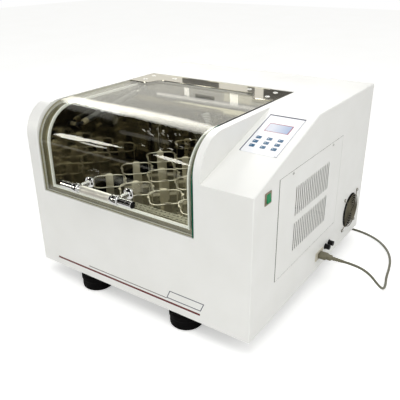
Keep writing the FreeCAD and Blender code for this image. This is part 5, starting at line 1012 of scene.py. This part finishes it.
        bm = bmesh.new()
        cap = [(0, -2), (8.2, -2), (8.6, 0), (8.6, 1.6), (7.8, 2.6), (5.4, 3), (0, 3)]
        for side in (-1, 1):
            lathe(bm, cap, middle + X * side * half, X * side, 40)
        piece("handle_plugs", bm, "lid", ("black_plastic",), ["handle_end_caps"], 30)

        bm = bmesh.new()
        post = [(0, 0), (9.5, 0), (10, 0.6), (14.2, 0.6), (15, 1.2), (15, 2.8), (14, 4.3), (11.4, 5.6),
                (8.6, 6.6), (7.3, 8.4), (7, 11), (7, 30), (7.2, 33), (8.4, 35.4), (9.4, 38), (9.4, 44),
                (0, 44)]
        saddle = [(9.6, -9), (11.6, -9), (12.6, -8.2), (13, -7), (13, 7), (12.6, 8.2), (11.6, 9), (9.6, 9)]
        for side in (-1, 1):
            x, y, z = middle + X * side * self.POST_SPACING / 2
            lathe(bm, post, (x, self.FACE, z), -Y, 44)
            lathe(bm, saddle, (x, y, z), X, 44, bored=True)
            lathe(bm, [(0, 0), (5, 0), (5, 5.2), (0, 5.2)], (x, self.FACE, z), Y, 20)
            lathe(bm, [(0, 0), (9, 0), (9, 3), (8, 4), (0, 4)], (x, self.FACE + self.THICK, z), Y, 6)
        piece("handle_standoffs", bm, "lid", ("chrome_plate",), ["handle_posts"], 28)


class SHAKER_OT_strut(bpy.types.Operator):
    """Gas strut: lacquered tube with its light end cap, polished rod"""
    bl_idname = "shaker.strut"
    bl_label = "Gas strut"

    CHAMBER_END, LID_END = Vector((94, 107, 410)), Vector((94, 402, 460))

    def execute(self, context):
        near, far = self.CHAMBER_END, self.LID_END
        along, length = (far - near).normalized(), (far - near).length
        bm = bmesh.new()
        body = [(4.1, 34), (8.6, 34), (9, 34.8), (9, 249), (8.7, 250.6), (7.6, 252), (4.1, 252)]
        lathe(bm, body, near, along, 40, bored=True)
        cap = [(0, 17), (5.2, 17), (6, 18), (8.2, 19), (8.6, 20.2), (8.6, 33), (8.2, 34), (0, 34)]
        lathe(bm, cap, near, along, 40, 1)
        lathe(bm, [(0, 4), (4.2, 4), (4.2, 20), (0, 20)], near, along, 24, 2)
        eye = [(3.6, -4.5), (6.4, -4.5), (7, -3.9), (7, 3.9), (6.4, 4.5), (3.6, 4.5)]
        lathe(bm, eye, near, X, 32, 2, bored=True)
        piece("strut_tube", bm, "strut_cylinder", ("black_lacquer", "strut_cap", "black_plastic"),
              ["strut_cylinder"], 28)

        bm = bmesh.new()
        start, end = length - 230, length - 22
        lathe(bm, [(0, start), (3.7, start), (4, start + 0.4), (4, end), (0, end)], near, along, 28)
        neck = [(0, end), (4.2, end), (4.6, end + 1), (4.6, end + 15), (0, end + 15)]
        lathe(bm, neck, near, along, 24, 1)
        lathe(bm, [(0, -4.5), (6.4, -4.5), (7, -3.9), (7, 3.9), (6.4, 4.5), (0, 4.5)], far, X, 32, 1)
        piece("strut_piston", bm, "strut_rod", ("chrome_plate", "black_lacquer"),
              ["strut_rod"], 28)
        return {"FINISHED"}


class SHAKER_OT_platform(bpy.types.Operator):
    """Perforated tray with twelve flask clamps and their coiled springs"""
    bl_idname = "shaker.platform"
    bl_label = "Tray and flask clamps"

    TRAY_LOW, TRAY_HIGH = box_of("shaker_tray")
    MIDDLE, TOP = (TRAY_LOW + TRAY_HIGH) / 2, TRAY_HIGH.z
    WIDE, DEEP, RIM = TRAY_HIGH - TRAY_LOW
    BORDER, INSET = 24, 3.0               # both borders without holes, and where the rim's bend starts
    COLUMNS, ROWS, COLUMN_PITCH, ROW_PITCH = 4, 3, 104, 122
    ARM, SHEET, HIGH = 42.6, 1.2, 66.0    # an arm's inner face from the clamp's middle, its sheet and height
    COIL_PITCH = 2.4                      # of the springs, wider than a real one so that it shows
    DIAGONAL = 1.414                      # a square's corner from its middle, over half its side

    def execute(self, context):
        sizes = context.scene.shaker_sizes
        self.tray(sizes)
        self.clamps(sizes)
        return {"FINISHED"}

    def tray(self, sizes):
        """Sheet with rows of holes and a rim folded down."""
        bm = bmesh.new()
        x, y = self.MIDDLE.xy
        edges = self.TRAY_LOW.x, self.TRAY_HIGH.x, self.TRAY_LOW.y, self.TRAY_HIGH.y
        pitch, hole = sizes.tray_pitch * MM, sizes.tray_hole * MM / 2
        columns, rows = int((self.WIDE - self.BORDER) / pitch), int((self.DEEP - self.BORDER) / pitch)
        holes = [circle(x + (i - (columns - 1) / 2) * pitch, y + (j - (rows - 1) / 2) * pitch, hole, 10)
                 for i in range(columns) for j in range(rows)]
        sheet_with_holes(bm, inset_rectangle(*edges, self.INSET, 6), holes, level, self.TOP - 1.5, self.TOP)
        fold = [(self.INSET, 0), (1.4, -0.25), (0.4, -1.1), (0, -2.6), (0, -self.RIM), (1.3, -self.RIM),
                (1.3, -3.0), (2, -1.8), (self.INSET, -1.5)]
        rings = [[bm.verts.new((u, v, self.TOP + drop)) for u, v in inset_rectangle(*edges, off, 9 - off)]
                 for off, drop in fold]
        skin(bm, rings, closed=True)
        piece("perforated_tray", bm, "platform", ("stainless_tray",), ["shaker_tray"], 40)

    def places(self):
        """Middle of each clamp on the tray."""
        return [Vector((self.MIDDLE.x + (i - (self.COLUMNS - 1) / 2) * self.COLUMN_PITCH,
                        self.MIDDLE.y + (j - (self.ROWS - 1) / 2) * self.ROW_PITCH, self.TOP))
                for j in range(self.ROWS) for i in range(self.COLUMNS)]

    def clamps(self, sizes):
        """Cross of bent arms with turned-out lips, and a coiled spring round them."""
        arms, springs = bmesh.new(), bmesh.new()
        outer, high = self.ARM + self.SHEET, self.HIGH
        line = bent_line([(6, 0, 0), (outer, 0, 0), (outer, 0, high - 1.2), (outer + 6.5, 0, high + 0.2)],
                         3.2)
        widths = [22.0 if p.z < high - 8 else 22 - 2.2 * max(0, p.x - outer) for p in line]
        radius = sizes.spring_width * MM / 2
        reach = (outer + 0.2 + radius) * self.DIAGONAL
        rise = high - 3.2 - radius * 0.4
        for middle in self.places():
            for k in range(4):
                turn = Matrix.Translation(middle) @ Matrix.Rotation(math.radians(45 + 90 * k), 4, "Z")
                strip(arms, [turn @ p for p in line], turn.to_3x3() @ Y, widths, self.SHEET)
            lathe(arms, [(0, 0), (13, 0), (13.5, 0.4), (13.5, 1.6), (13, 2), (0, 2)], middle, Z, 24)
            cross_head(arms, middle + Z * 2, Z, 4.4, 2.6, 20, 1)
            corners = [middle + Matrix.Rotation(math.radians(90 * k + 90), 4, "Z") @ Vector((reach, 0, rise))
                       for k in range(4)]
            self.spring(springs, corners, radius)
        piece("flask_clamp_arms", arms, "platform", ("stainless_clamp", "zinc_screw"),
              ["flask_clamps"], 30)
        piece("flask_clamp_springs", springs, "platform", ("plated_wire",),
              ["clamp_springs"], 60)

    def spring(self, bm, corners, radius):
        """Closed coiled spring round four corners, drawn as a tube with a swell for each coil."""
        looped = corners[-1:] + corners + corners[:1]
        middles = [(a + b) / 2 for a, b in zip(looped, looped[1:])]
        line = []
        for k in range(4):
            line += bent_line([middles[k], corners[k], middles[k + 1]], 36, 10)[:-1]
        line.append(line[0])
        lengths = [0.0]
        for a, b in zip(line, line[1:]):
            lengths.append(lengths[-1] + (b - a).length)
        count = 2 * round(lengths[-1] / self.COIL_PITCH)
        points, swell, seek = [], [], 0
        for k in range(count):
            goal = lengths[-1] * k / count
            while lengths[seek + 1] < goal:
                seek += 1
            share = (goal - lengths[seek]) / (lengths[seek + 1] - lengths[seek])
            points.append(line[seek].lerp(line[seek + 1], share))
            swell.append(1.0 if k % 2 else 0.8)
        tube(bm, points, radius, 8, closed=True, swell=swell)


class SHAKER_OT_seal(bpy.types.Operator):
    """White silicone seal with a round lip round the chamber's mouth"""
    bl_idname = "shaker.seal"
    bl_label = "Lid seal"

    SEAT = 8.0                            # from the solid seal's outer edge to the chamber's mouth
    SEAL_LOW, SEAL_HIGH = box_of("lid_gasket")
    LEFT, LOW = SEAL_LOW.x + SEAT, SEAL_LOW.z + SEAT
    RIGHT, BACK = SEAL_HIGH.x - SEAT, SEAL_HIGH.y - SEAT
    BEND, WIDE = 110.0, 5.6
    OUTER, INNER = 7.4, 14.6              # the lip and the foot lie inside the cabinet's faces by these
    OVERLAP, STEPS = 0.4, 18

    def execute(self, context):
        bm = bmesh.new()
        middle, half, wide = (self.OUTER + self.INNER) / 2, (self.INNER - self.OUTER) / 2, self.WIDE / 2
        # half a lip outward, square foot inward: (across, inset)
        bulb = [(-wide, half), (-wide, -half * 0.3), (-wide * 0.72, -half * 0.8), (0, -half),
                (wide * 0.72, -half * 0.8), (wide, -half * 0.3), (wide, half)]
        for side, edge in ((-1, self.LEFT), (1, self.RIGHT)):
            rings = []
            for y, z, ny, nz in self.bend(middle):
                rings.append([bm.verts.new((edge + side * (wide + a), y - ny * w, z - nz * w))
                              for a, w in bulb])
            skin(bm, rings, capped=True)
        low = [(middle + w, self.LOW - wide + a) for a, w in bulb]
        top = [(self.BACK + wide + a, HEIGHT - middle - w) for a, w in bulb]
        ends = self.LEFT - self.OVERLAP, self.RIGHT + self.OVERLAP
        for outline in (low, top):
            skin(bm, [[bm.verts.new((x, y, z)) for y, z in outline] for x in ends], capped=True)
        piece("lid_seal", bm, "cabinet", ("silicone_seal",), ["lid_gasket"], 40)
        return {"FINISHED"}

    def bend(self, inset):
        """Points of a side run with the outward direction of the surface, (y, z, ny, nz)."""
        radius = self.BEND - inset
        points = [(inset, self.LOW - self.WIDE, -1.0, 0.0)]
        for k in range(self.STEPS + 1):
            turn = math.radians(90 * k / self.STEPS)
            ny, nz = -math.cos(turn), math.sin(turn)
            points.append((self.BEND + radius * ny, HEIGHT - self.BEND + radius * nz, ny, nz))
        return points + [(self.BACK + self.WIDE, HEIGHT - inset, 0.0, 1.0)]


class SHAKER_OT_chamber(bpy.types.Operator):
    """Duct panel with its rolled lips and perforations, and the perforated strip on the sill"""
    bl_idname = "shaker.chamber"
    bl_label = "Air duct and sill"

    SILL, SILL_TOP, SILL_PITCH = (84.0, 535.0, 18.5, 45.5), 257.0, 13
    FOAM, SILL_SHEET = 0.4, 0.8
    (LEFT, FACE, LOW), (RIGHT, BACK, HIGH) = box_of("duct_panel")
    LIP, SHEET = 12.0, 1.2
    PITCH, COLUMNS, ROWS, FIRST, LOWEST = 14.0, 31, 13, 99.5, 227
    FAN_HOLE, FAN_CLEAR = 60, 74          # radius of the fan's opening, and of the field without holes

    def execute(self, context):
        self.sill()
        self.duct()
        return {"FINISHED"}

    def sill(self):
        """Strip with two staggered rows of holes, on a dark sheet that paints the shade under the holes."""
        bm = bmesh.new()
        left, _, front, _ = self.SILL
        holes = [circle(left + 9 + self.SILL_PITCH * (i + j / 2), front + 7 + self.SILL_PITCH * j, 2.8, 10)
                 for i in range(34) for j in range(2)]
        shade_layer_top, top = self.SILL_TOP + self.FOAM, self.SILL_TOP + self.FOAM + self.SILL_SHEET
        sheet_with_holes(bm, rectangle(*self.SILL, 3), holes, level, shade_layer_top, top)
        # dark sheet under the strip: painted shade in its holes
        sheet_with_holes(bm, inset_rectangle(*self.SILL, 1, 2), [], level, self.SILL_TOP, shade_layer_top, 1)
        piece("sill_strip", bm, "cabinet", ("stainless_sill", "seal_foam"), (), 40)

    def duct(self):
        """Panel with staggered holes round the fan's opening, its lower and upper edges rolled back."""
        bm = bmesh.new()
        fan = middle_of("circulation_fan")
        holes = [circle(fan.x, fan.z, self.FAN_HOLE, 56)]
        for i in range(self.COLUMNS):
            for j in range(self.ROWS):
                u, v = self.FIRST + self.PITCH * (i + j % 2 / 2), self.LOWEST + self.PITCH * j
                if math.hypot(u - fan.x, v - fan.z) > self.FAN_CLEAR:
                    holes.append(circle(u, v, 2.4, 8))
        low, high = self.LOW + self.LIP, self.HIGH - self.LIP
        sheet_with_holes(bm, rectangle(self.LEFT, self.RIGHT, low, high), holes, self.on_duct, -self.SHEET, 0)
        for edge, way in ((low, -1), (high, 1)):
            rings = []
            for x in (self.LEFT, self.RIGHT):
                outer, inner = ([Vector((x, self.FACE + drop, edge))] for drop in (0, self.SHEET))
                for store, radius in ((outer, self.LIP), (inner, self.LIP - self.SHEET)):
                    for k in range(1, 9):
                        turn = math.radians(90 * k / 8)
                        store.append(Vector((x, self.FACE + self.LIP - radius * math.cos(turn),
                                             edge + way * radius * math.sin(turn))))
                    store.append(Vector((x, self.BACK, edge + way * radius)))
                rings.append([bm.verts.new(p) for p in outer + inner[::-1]])
            skin(bm, rings, capped=True)
        piece("perforated_duct", bm, "cabinet", ("stainless_duct",), ["duct_panel"], 24)

    def on_duct(self, u, v, w):
        """A point on the duct panel: u to the right, v up, w to the front."""
        return Vector((u, self.FACE - w, v))


class SHAKER_OT_guards(bpy.types.Operator):
    """Round wire guards of the side fan and of the circulation fan, and the cabinet's screws"""
    bl_idname = "shaker.guards"
    bl_label = "Fan guards and screws"

    FAN_SPACING, DUCT_SPACING = 105, 96   # between a guard's screws
    WIRE, EAR = 1.1, 2.6                  # the wire's radius, and an ear's thickness

    def execute(self, context):
        rings = context.scene.shaker_sizes.guard_rings
        fan, duct_fan = middle_of("side_fan_frame"), middle_of("circulation_fan")
        fan.x, duct_fan.y = WIDTH, SHAKER_OT_chamber.FACE
        bm = bmesh.new()
        self.guard(bm, fan, X, 53, self.FAN_SPACING, rings)
        self.guard(bm, duct_fan, -Y, 52, self.DUCT_SPACING, rings)
        piece("wire_guards", bm, "cabinet", ("guard_wire",), ["fan_guards"], 50)

        bm = bmesh.new()
        half = self.FAN_SPACING / 2
        for y, z in PANEL_SCREWS:
            self.screw(bm, Vector((WIDTH, y, z)), X, 3.6, 2.0, 10, -3, 0)
        for a in (-half, half):
            for b in (-half, half):
                cross_head(bm, fan + Vector((self.EAR, a, b)), X, 4, 2.4, 35)
                lathe(bm, [(0, -12), (1.9, -12), (1.9, 2.7), (0, 2.7)], fan + Vector((0, a, b)), X, 12)
        for x in (14, WIDTH - 14):
            for z in (29, HEIGHT / 2, HEIGHT - 14):
                self.screw(bm, Vector((x, DEPTH, z)), Y, 4, 2.4, 25, -3, 0)
        piece("cabinet_screw_set", bm, "cabinet", ("zinc_screw",), ["cabinet_screws"], 40)
        return {"FINISHED"}

    @staticmethod
    def screw(bm, place, axis, radius, height, turn, low, high):
        """Cross head on a surface with its shank from low to high along the axis."""
        cross_head(bm, place, axis, radius, height, turn)
        lathe(bm, [(0, low), (1.9, low), (1.9, high), (0, high)], place, axis, 12)

    def guard(self, bm, middle, axis, radius, spacing, rings):
        """Concentric rings welded on four legs that end in screw ears."""
        u, v = side_axes(axis)
        a, b = (u + v).normalized(), (u - v).normalized()
        corner = spacing / 2 * math.sqrt(2)
        turns = [2 * math.pi * s / 48 for s in range(48)]
        for k in range(rings):
            size = radius * (k + 1) / rings
            line = [middle + axis * 6 + (u * math.cos(t) + v * math.sin(t)) * size for t in turns]
            tube(bm, line, self.WIRE, 8, True)
        ear = [(2.1, 0), (4.8, 0), (5, 0.3), (5, 2.3), (4.8, self.EAR), (2.1, self.EAR)]
        for way in (a, -a, b, -b):
            leg = [middle + way * (radius / rings - 1) + axis * 4.2, middle + way * (radius + 3) + axis * 4.2,
                   middle + way * (corner - 3.5) + axis * 1.3]
            tube(bm, bent_line(leg, 5, 4), self.WIRE, 8)
            lathe(bm, ear, middle + way * corner, axis, 24, bored=True)


class SHAKER_OT_louvres(bpy.types.Operator):
    """Service panel with its pressed louvres and, in the gap round it, a dark sheet as painted shade"""
    bl_idname = "shaker.louvres"
    bl_label = "Louvred service panel"

    GAP = 1.2                                   # between the solid panel and the cabinet's opening
    PANEL_LOW, PANEL_HIGH = box_of("service_panel")
    OPENING = (PANEL_LOW.y - GAP, PANEL_HIGH.y + GAP, PANEL_LOW.z - GAP, PANEL_HIGH.z + GAP)
    FRONT_GAP = 3.8                             # the pressed panel's own gap at the front is wider, so more painted shade shows there
    PITCH, COUNT, FIRST, RUN = 11.9, 18, 213.0, 82.0
    GROUPS = (150.0, 249.0)                     # where each group of louvres starts, up from the underside
    SLOT, STAND, SHEET, END = 5.6, 2.2, 0.8, 5.0
    CURL = ((0.0, 1.0), (0.3, 0.84), (0.6, 0.5), (0.85, 0.16), (1.0, 0.0))   # a lip's height over its depth

    def execute(self, context):
        self.panel()
        self.seal()
        return {"FINISHED"}

    def panel(self):
        """Sheet pierced under each lip; a lip rises behind its slot and stands open to the front."""
        bm = bmesh.new()
        slots = []
        for low in self.GROUPS:
            high = low + self.RUN
            ends = ((low - 0.4, 0.0), (low + 1.4, 0.6), (low + self.END, 1.0),
                    (high - self.END, 1.0), (high - 1.4, 0.6), (high + 0.4, 0.0))
            for k in range(self.COUNT):
                y = self.FIRST + k * self.PITCH
                slots.append(rectangle(y, y + self.SLOT, low, high))
                rings = []
                for z, rise in ends:
                    line = [(y - 0.4 + (self.SLOT + 1.2) * share, (self.STAND - 0.1) * curl * rise + 0.05)
                            for share, curl in self.CURL]
                    ring = [on_side(u, z, w) for u, w in line]
                    ring += [on_side(u, z, w - self.SHEET) for u, w in line[::-1]]
                    rings.append([bm.verts.new(p) for p in ring])
                skin(bm, rings, capped=True)
        front, back, low, high = self.OPENING
        outline = rectangle(front + self.FRONT_GAP, back - self.GAP, low + self.GAP, high - self.GAP, 1.5, 3)
        screws = [circle(y, z, 1.9) for y, z in PANEL_SCREWS]
        sheet_with_holes(bm, outline, slots + screws, on_side, -1.4, 0)
        piece("louvred_panel", bm, "cabinet", ("white_powder_coat",),
              ["service_panel"], 35)

    def seal(self):
        """Dark sheet that shows in the gap round the panel as painted shade, widest at the front."""
        bm = bmesh.new()
        front, back, low, high = self.OPENING
        shows = self.GAP + 0.1
        hole = rectangle(front + self.FRONT_GAP - 0.1, back - shows, low + shows, high - shows)
        sheet_with_holes(bm, inset_rectangle(*self.OPENING, 0.1), [hole], on_side, -1.3, -0.45)
        piece("panel_gap_shade", bm, "cabinet", ("seal_foam",), (), 30)


class SHAKER_OT_keypad(bpy.types.Operator):
    """Printed graphics of the keypad film, without words"""
    bl_idname = "shaker.keypad"
    bl_label = "Keypad graphics"

    FILM, KEY_TOP, INK = 0.8, 1.5, 0.1    # heights of the film and of a key over the slope, and the ink's
    PLATE_LOW, PLATE_HIGH = box_of("keypad_plate")
    LEFT, RIGHT, LOW, HIGH = PLATE_LOW.x + 0.6, PLATE_HIGH.x - 0.6, 144.6, 307.4
    BORDER, LIT = (614.0, 685.0, 234.0, 274.0), (620.5, 680.5, 236.5, 268.5)
    KEYS, FIRST_ROW, COLUMN_PITCH, ROW_PITCH = 649.5, 171, 28.7, 17.6

    def execute(self, context):
        self.prints()
        for k in range(9):
            self.mark(k)
        return {"FINISHED"}

    def prints(self):
        """Film over the window's border, dark bars, and a crimson outline, strongest on the right."""
        bm = bmesh.new()
        x0, x1, v0, v1, face = self.LEFT, self.RIGHT, self.LOW, self.HIGH, self.FILM
        lit = self.LIT
        sheet_with_holes(bm, rectangle(*self.BORDER, 1), [rectangle(*lit, 1)], on_slope, face + 0.01,
                         face + self.INK, 2)
        for bar in ((x0, x1, v1 - 4.8, v1), (x0, x0 + 2.4, v0, v1), (x1 - 0.9, x1, v0, v1),
                    (x0, x0 + 5, v0, v0 + 1.6), (x1 - 7, x1, v0, v0 + 1.6)):
            sheet_with_holes(bm, rectangle(*bar, 0.4, 2), [], on_slope, face + 0.01, face + 0.12)
        outer = rectangle(lit[0] - 1.4, lit[1] + 2.6, lit[2] - 1.8, lit[3] + 2.2, 1)
        sheet_with_holes(bm, outer, [rectangle(*lit, 0.6)], on_slope, face + 0.09, face + 0.14, 1)
        piece("keypad_print", bm, "cabinet", ("dark_print", "crimson_print", "keypad_film"),
              (), 30)

    def mark(self, k):
        """White mark of a key: a bar in the left column, an arrow in the middle, a dot in the right."""
        row, column = divmod(k, 3)
        x, up = self.KEYS + (column - 1) * self.COLUMN_PITCH, self.FIRST_ROW + row * self.ROW_PITCH
        way = 1 if row == 2 else -1           # the top row's arrow points up
        foot, tip = up + 0.2 - 1.1 * way, up + 0.2 + 1.5 * way
        arrow = [(x - 5.2, foot), (x - 0.8, foot), (x - 3, tip)]
        bar, dot = rectangle(x - 4.8, x - 1.0, up + 0.4, up + 1.5), circle(x - 3, up + 0.8, 1.3, 16)
        bm = bmesh.new()
        sheet_with_holes(bm, (bar, arrow, dot)[column], [], on_slope, self.KEY_TOP + 0.005,
                         self.KEY_TOP + self.INK)
        piece(f"key_mark_{k + 1}", bm, f"key_{k + 1}", ("white_print",), (), 30)


class SHAKER_OT_front(bpy.types.Operator):
    """Coloured stripe, fine line and empty plate outline on the front"""
    bl_idname = "shaker.front"
    bl_label = "Front trim"

    STRIPE, STRIPE_MIDDLE = (65, 579), 24.5
    FINE_LINE = (193, 474, 34.2, 36.2)
    PLATE, LEAN, LINE = (474, 581, 36, 61), 11.0, 2.2

    def execute(self, context):
        half = context.scene.shaker_sizes.stripe_height * MM / 2
        bm = bmesh.new()
        stripe = rectangle(*self.STRIPE, self.STRIPE_MIDDLE - half, self.STRIPE_MIDDLE + half)
        sheet_with_holes(bm, stripe, [], on_front, 0.01, 0.15, 0)
        sheet_with_holes(bm, rectangle(*self.FINE_LINE), [], on_front, 0.01, 0.12, 2)
        u0, u1, v0, v1 = self.PLATE
        lean, line = self.LEAN, self.LINE
        outer = [(u0, v0), (u1, v0), (u1 + lean, v1), (u0 + lean, v1)]
        inner = [(u0 + 3.2, v0 + line), (u1 - 1.3, v0 + line), (u1 + lean - 3.2, v1 - line),
                 (u0 + lean + 1.3, v1 - line)]
        sheet_with_holes(bm, outer, [inner], on_front, 0.01, 0.12, 1)
        piece("front_trim", bm, "cabinet", ("stripe_film", "dark_print", "brown_print"),
              (), 30)
        return {"FINISHED"}


class SHAKER_PT_pieces(bpy.types.Panel):
    """Pieces of the shaker"""
    bl_idname = "SHAKER_PT_pieces"
    bl_label = "Shaker"
    bl_space_type = "VIEW_3D"
    bl_region_type = "UI"
    bl_category = "Shaker"

    def draw(self, context):
        for operator in OPERATORS:
            self.layout.operator(operator.bl_idname)
        for group in (context.scene.shaker_sizes, context.scene.shaker_colours):
            for name in group.__annotations__:
                self.layout.prop(group, name)


OPERATORS = [SHAKER_OT_stage, SHAKER_OT_cord, SHAKER_OT_cabinet, SHAKER_OT_feet, SHAKER_OT_lid,
             SHAKER_OT_strut, SHAKER_OT_platform, SHAKER_OT_seal, SHAKER_OT_chamber, SHAKER_OT_guards,
             SHAKER_OT_louvres, SHAKER_OT_keypad, SHAKER_OT_front]
CLASSES = [ShakerSizes, ShakerColours] + OPERATORS + [SHAKER_PT_pieces]


def register():
    for each in CLASSES:
        bpy.utils.register_class(each)
    bpy.types.Scene.shaker_sizes = PointerProperty(type=ShakerSizes)
    bpy.types.Scene.shaker_colours = PointerProperty(type=ShakerColours)


def unregister():
    del bpy.types.Scene.shaker_sizes
    del bpy.types.Scene.shaker_colours
    for each in reversed(CLASSES):
        bpy.utils.unregister_class(each)


def main():
    """Builds every piece in order."""
    register()
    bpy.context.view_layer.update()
    for operator in OPERATORS:
        group, name = operator.bl_idname.split(".")
        getattr(getattr(bpy.ops, group), name)()


if __name__ == "__main__":
    main()
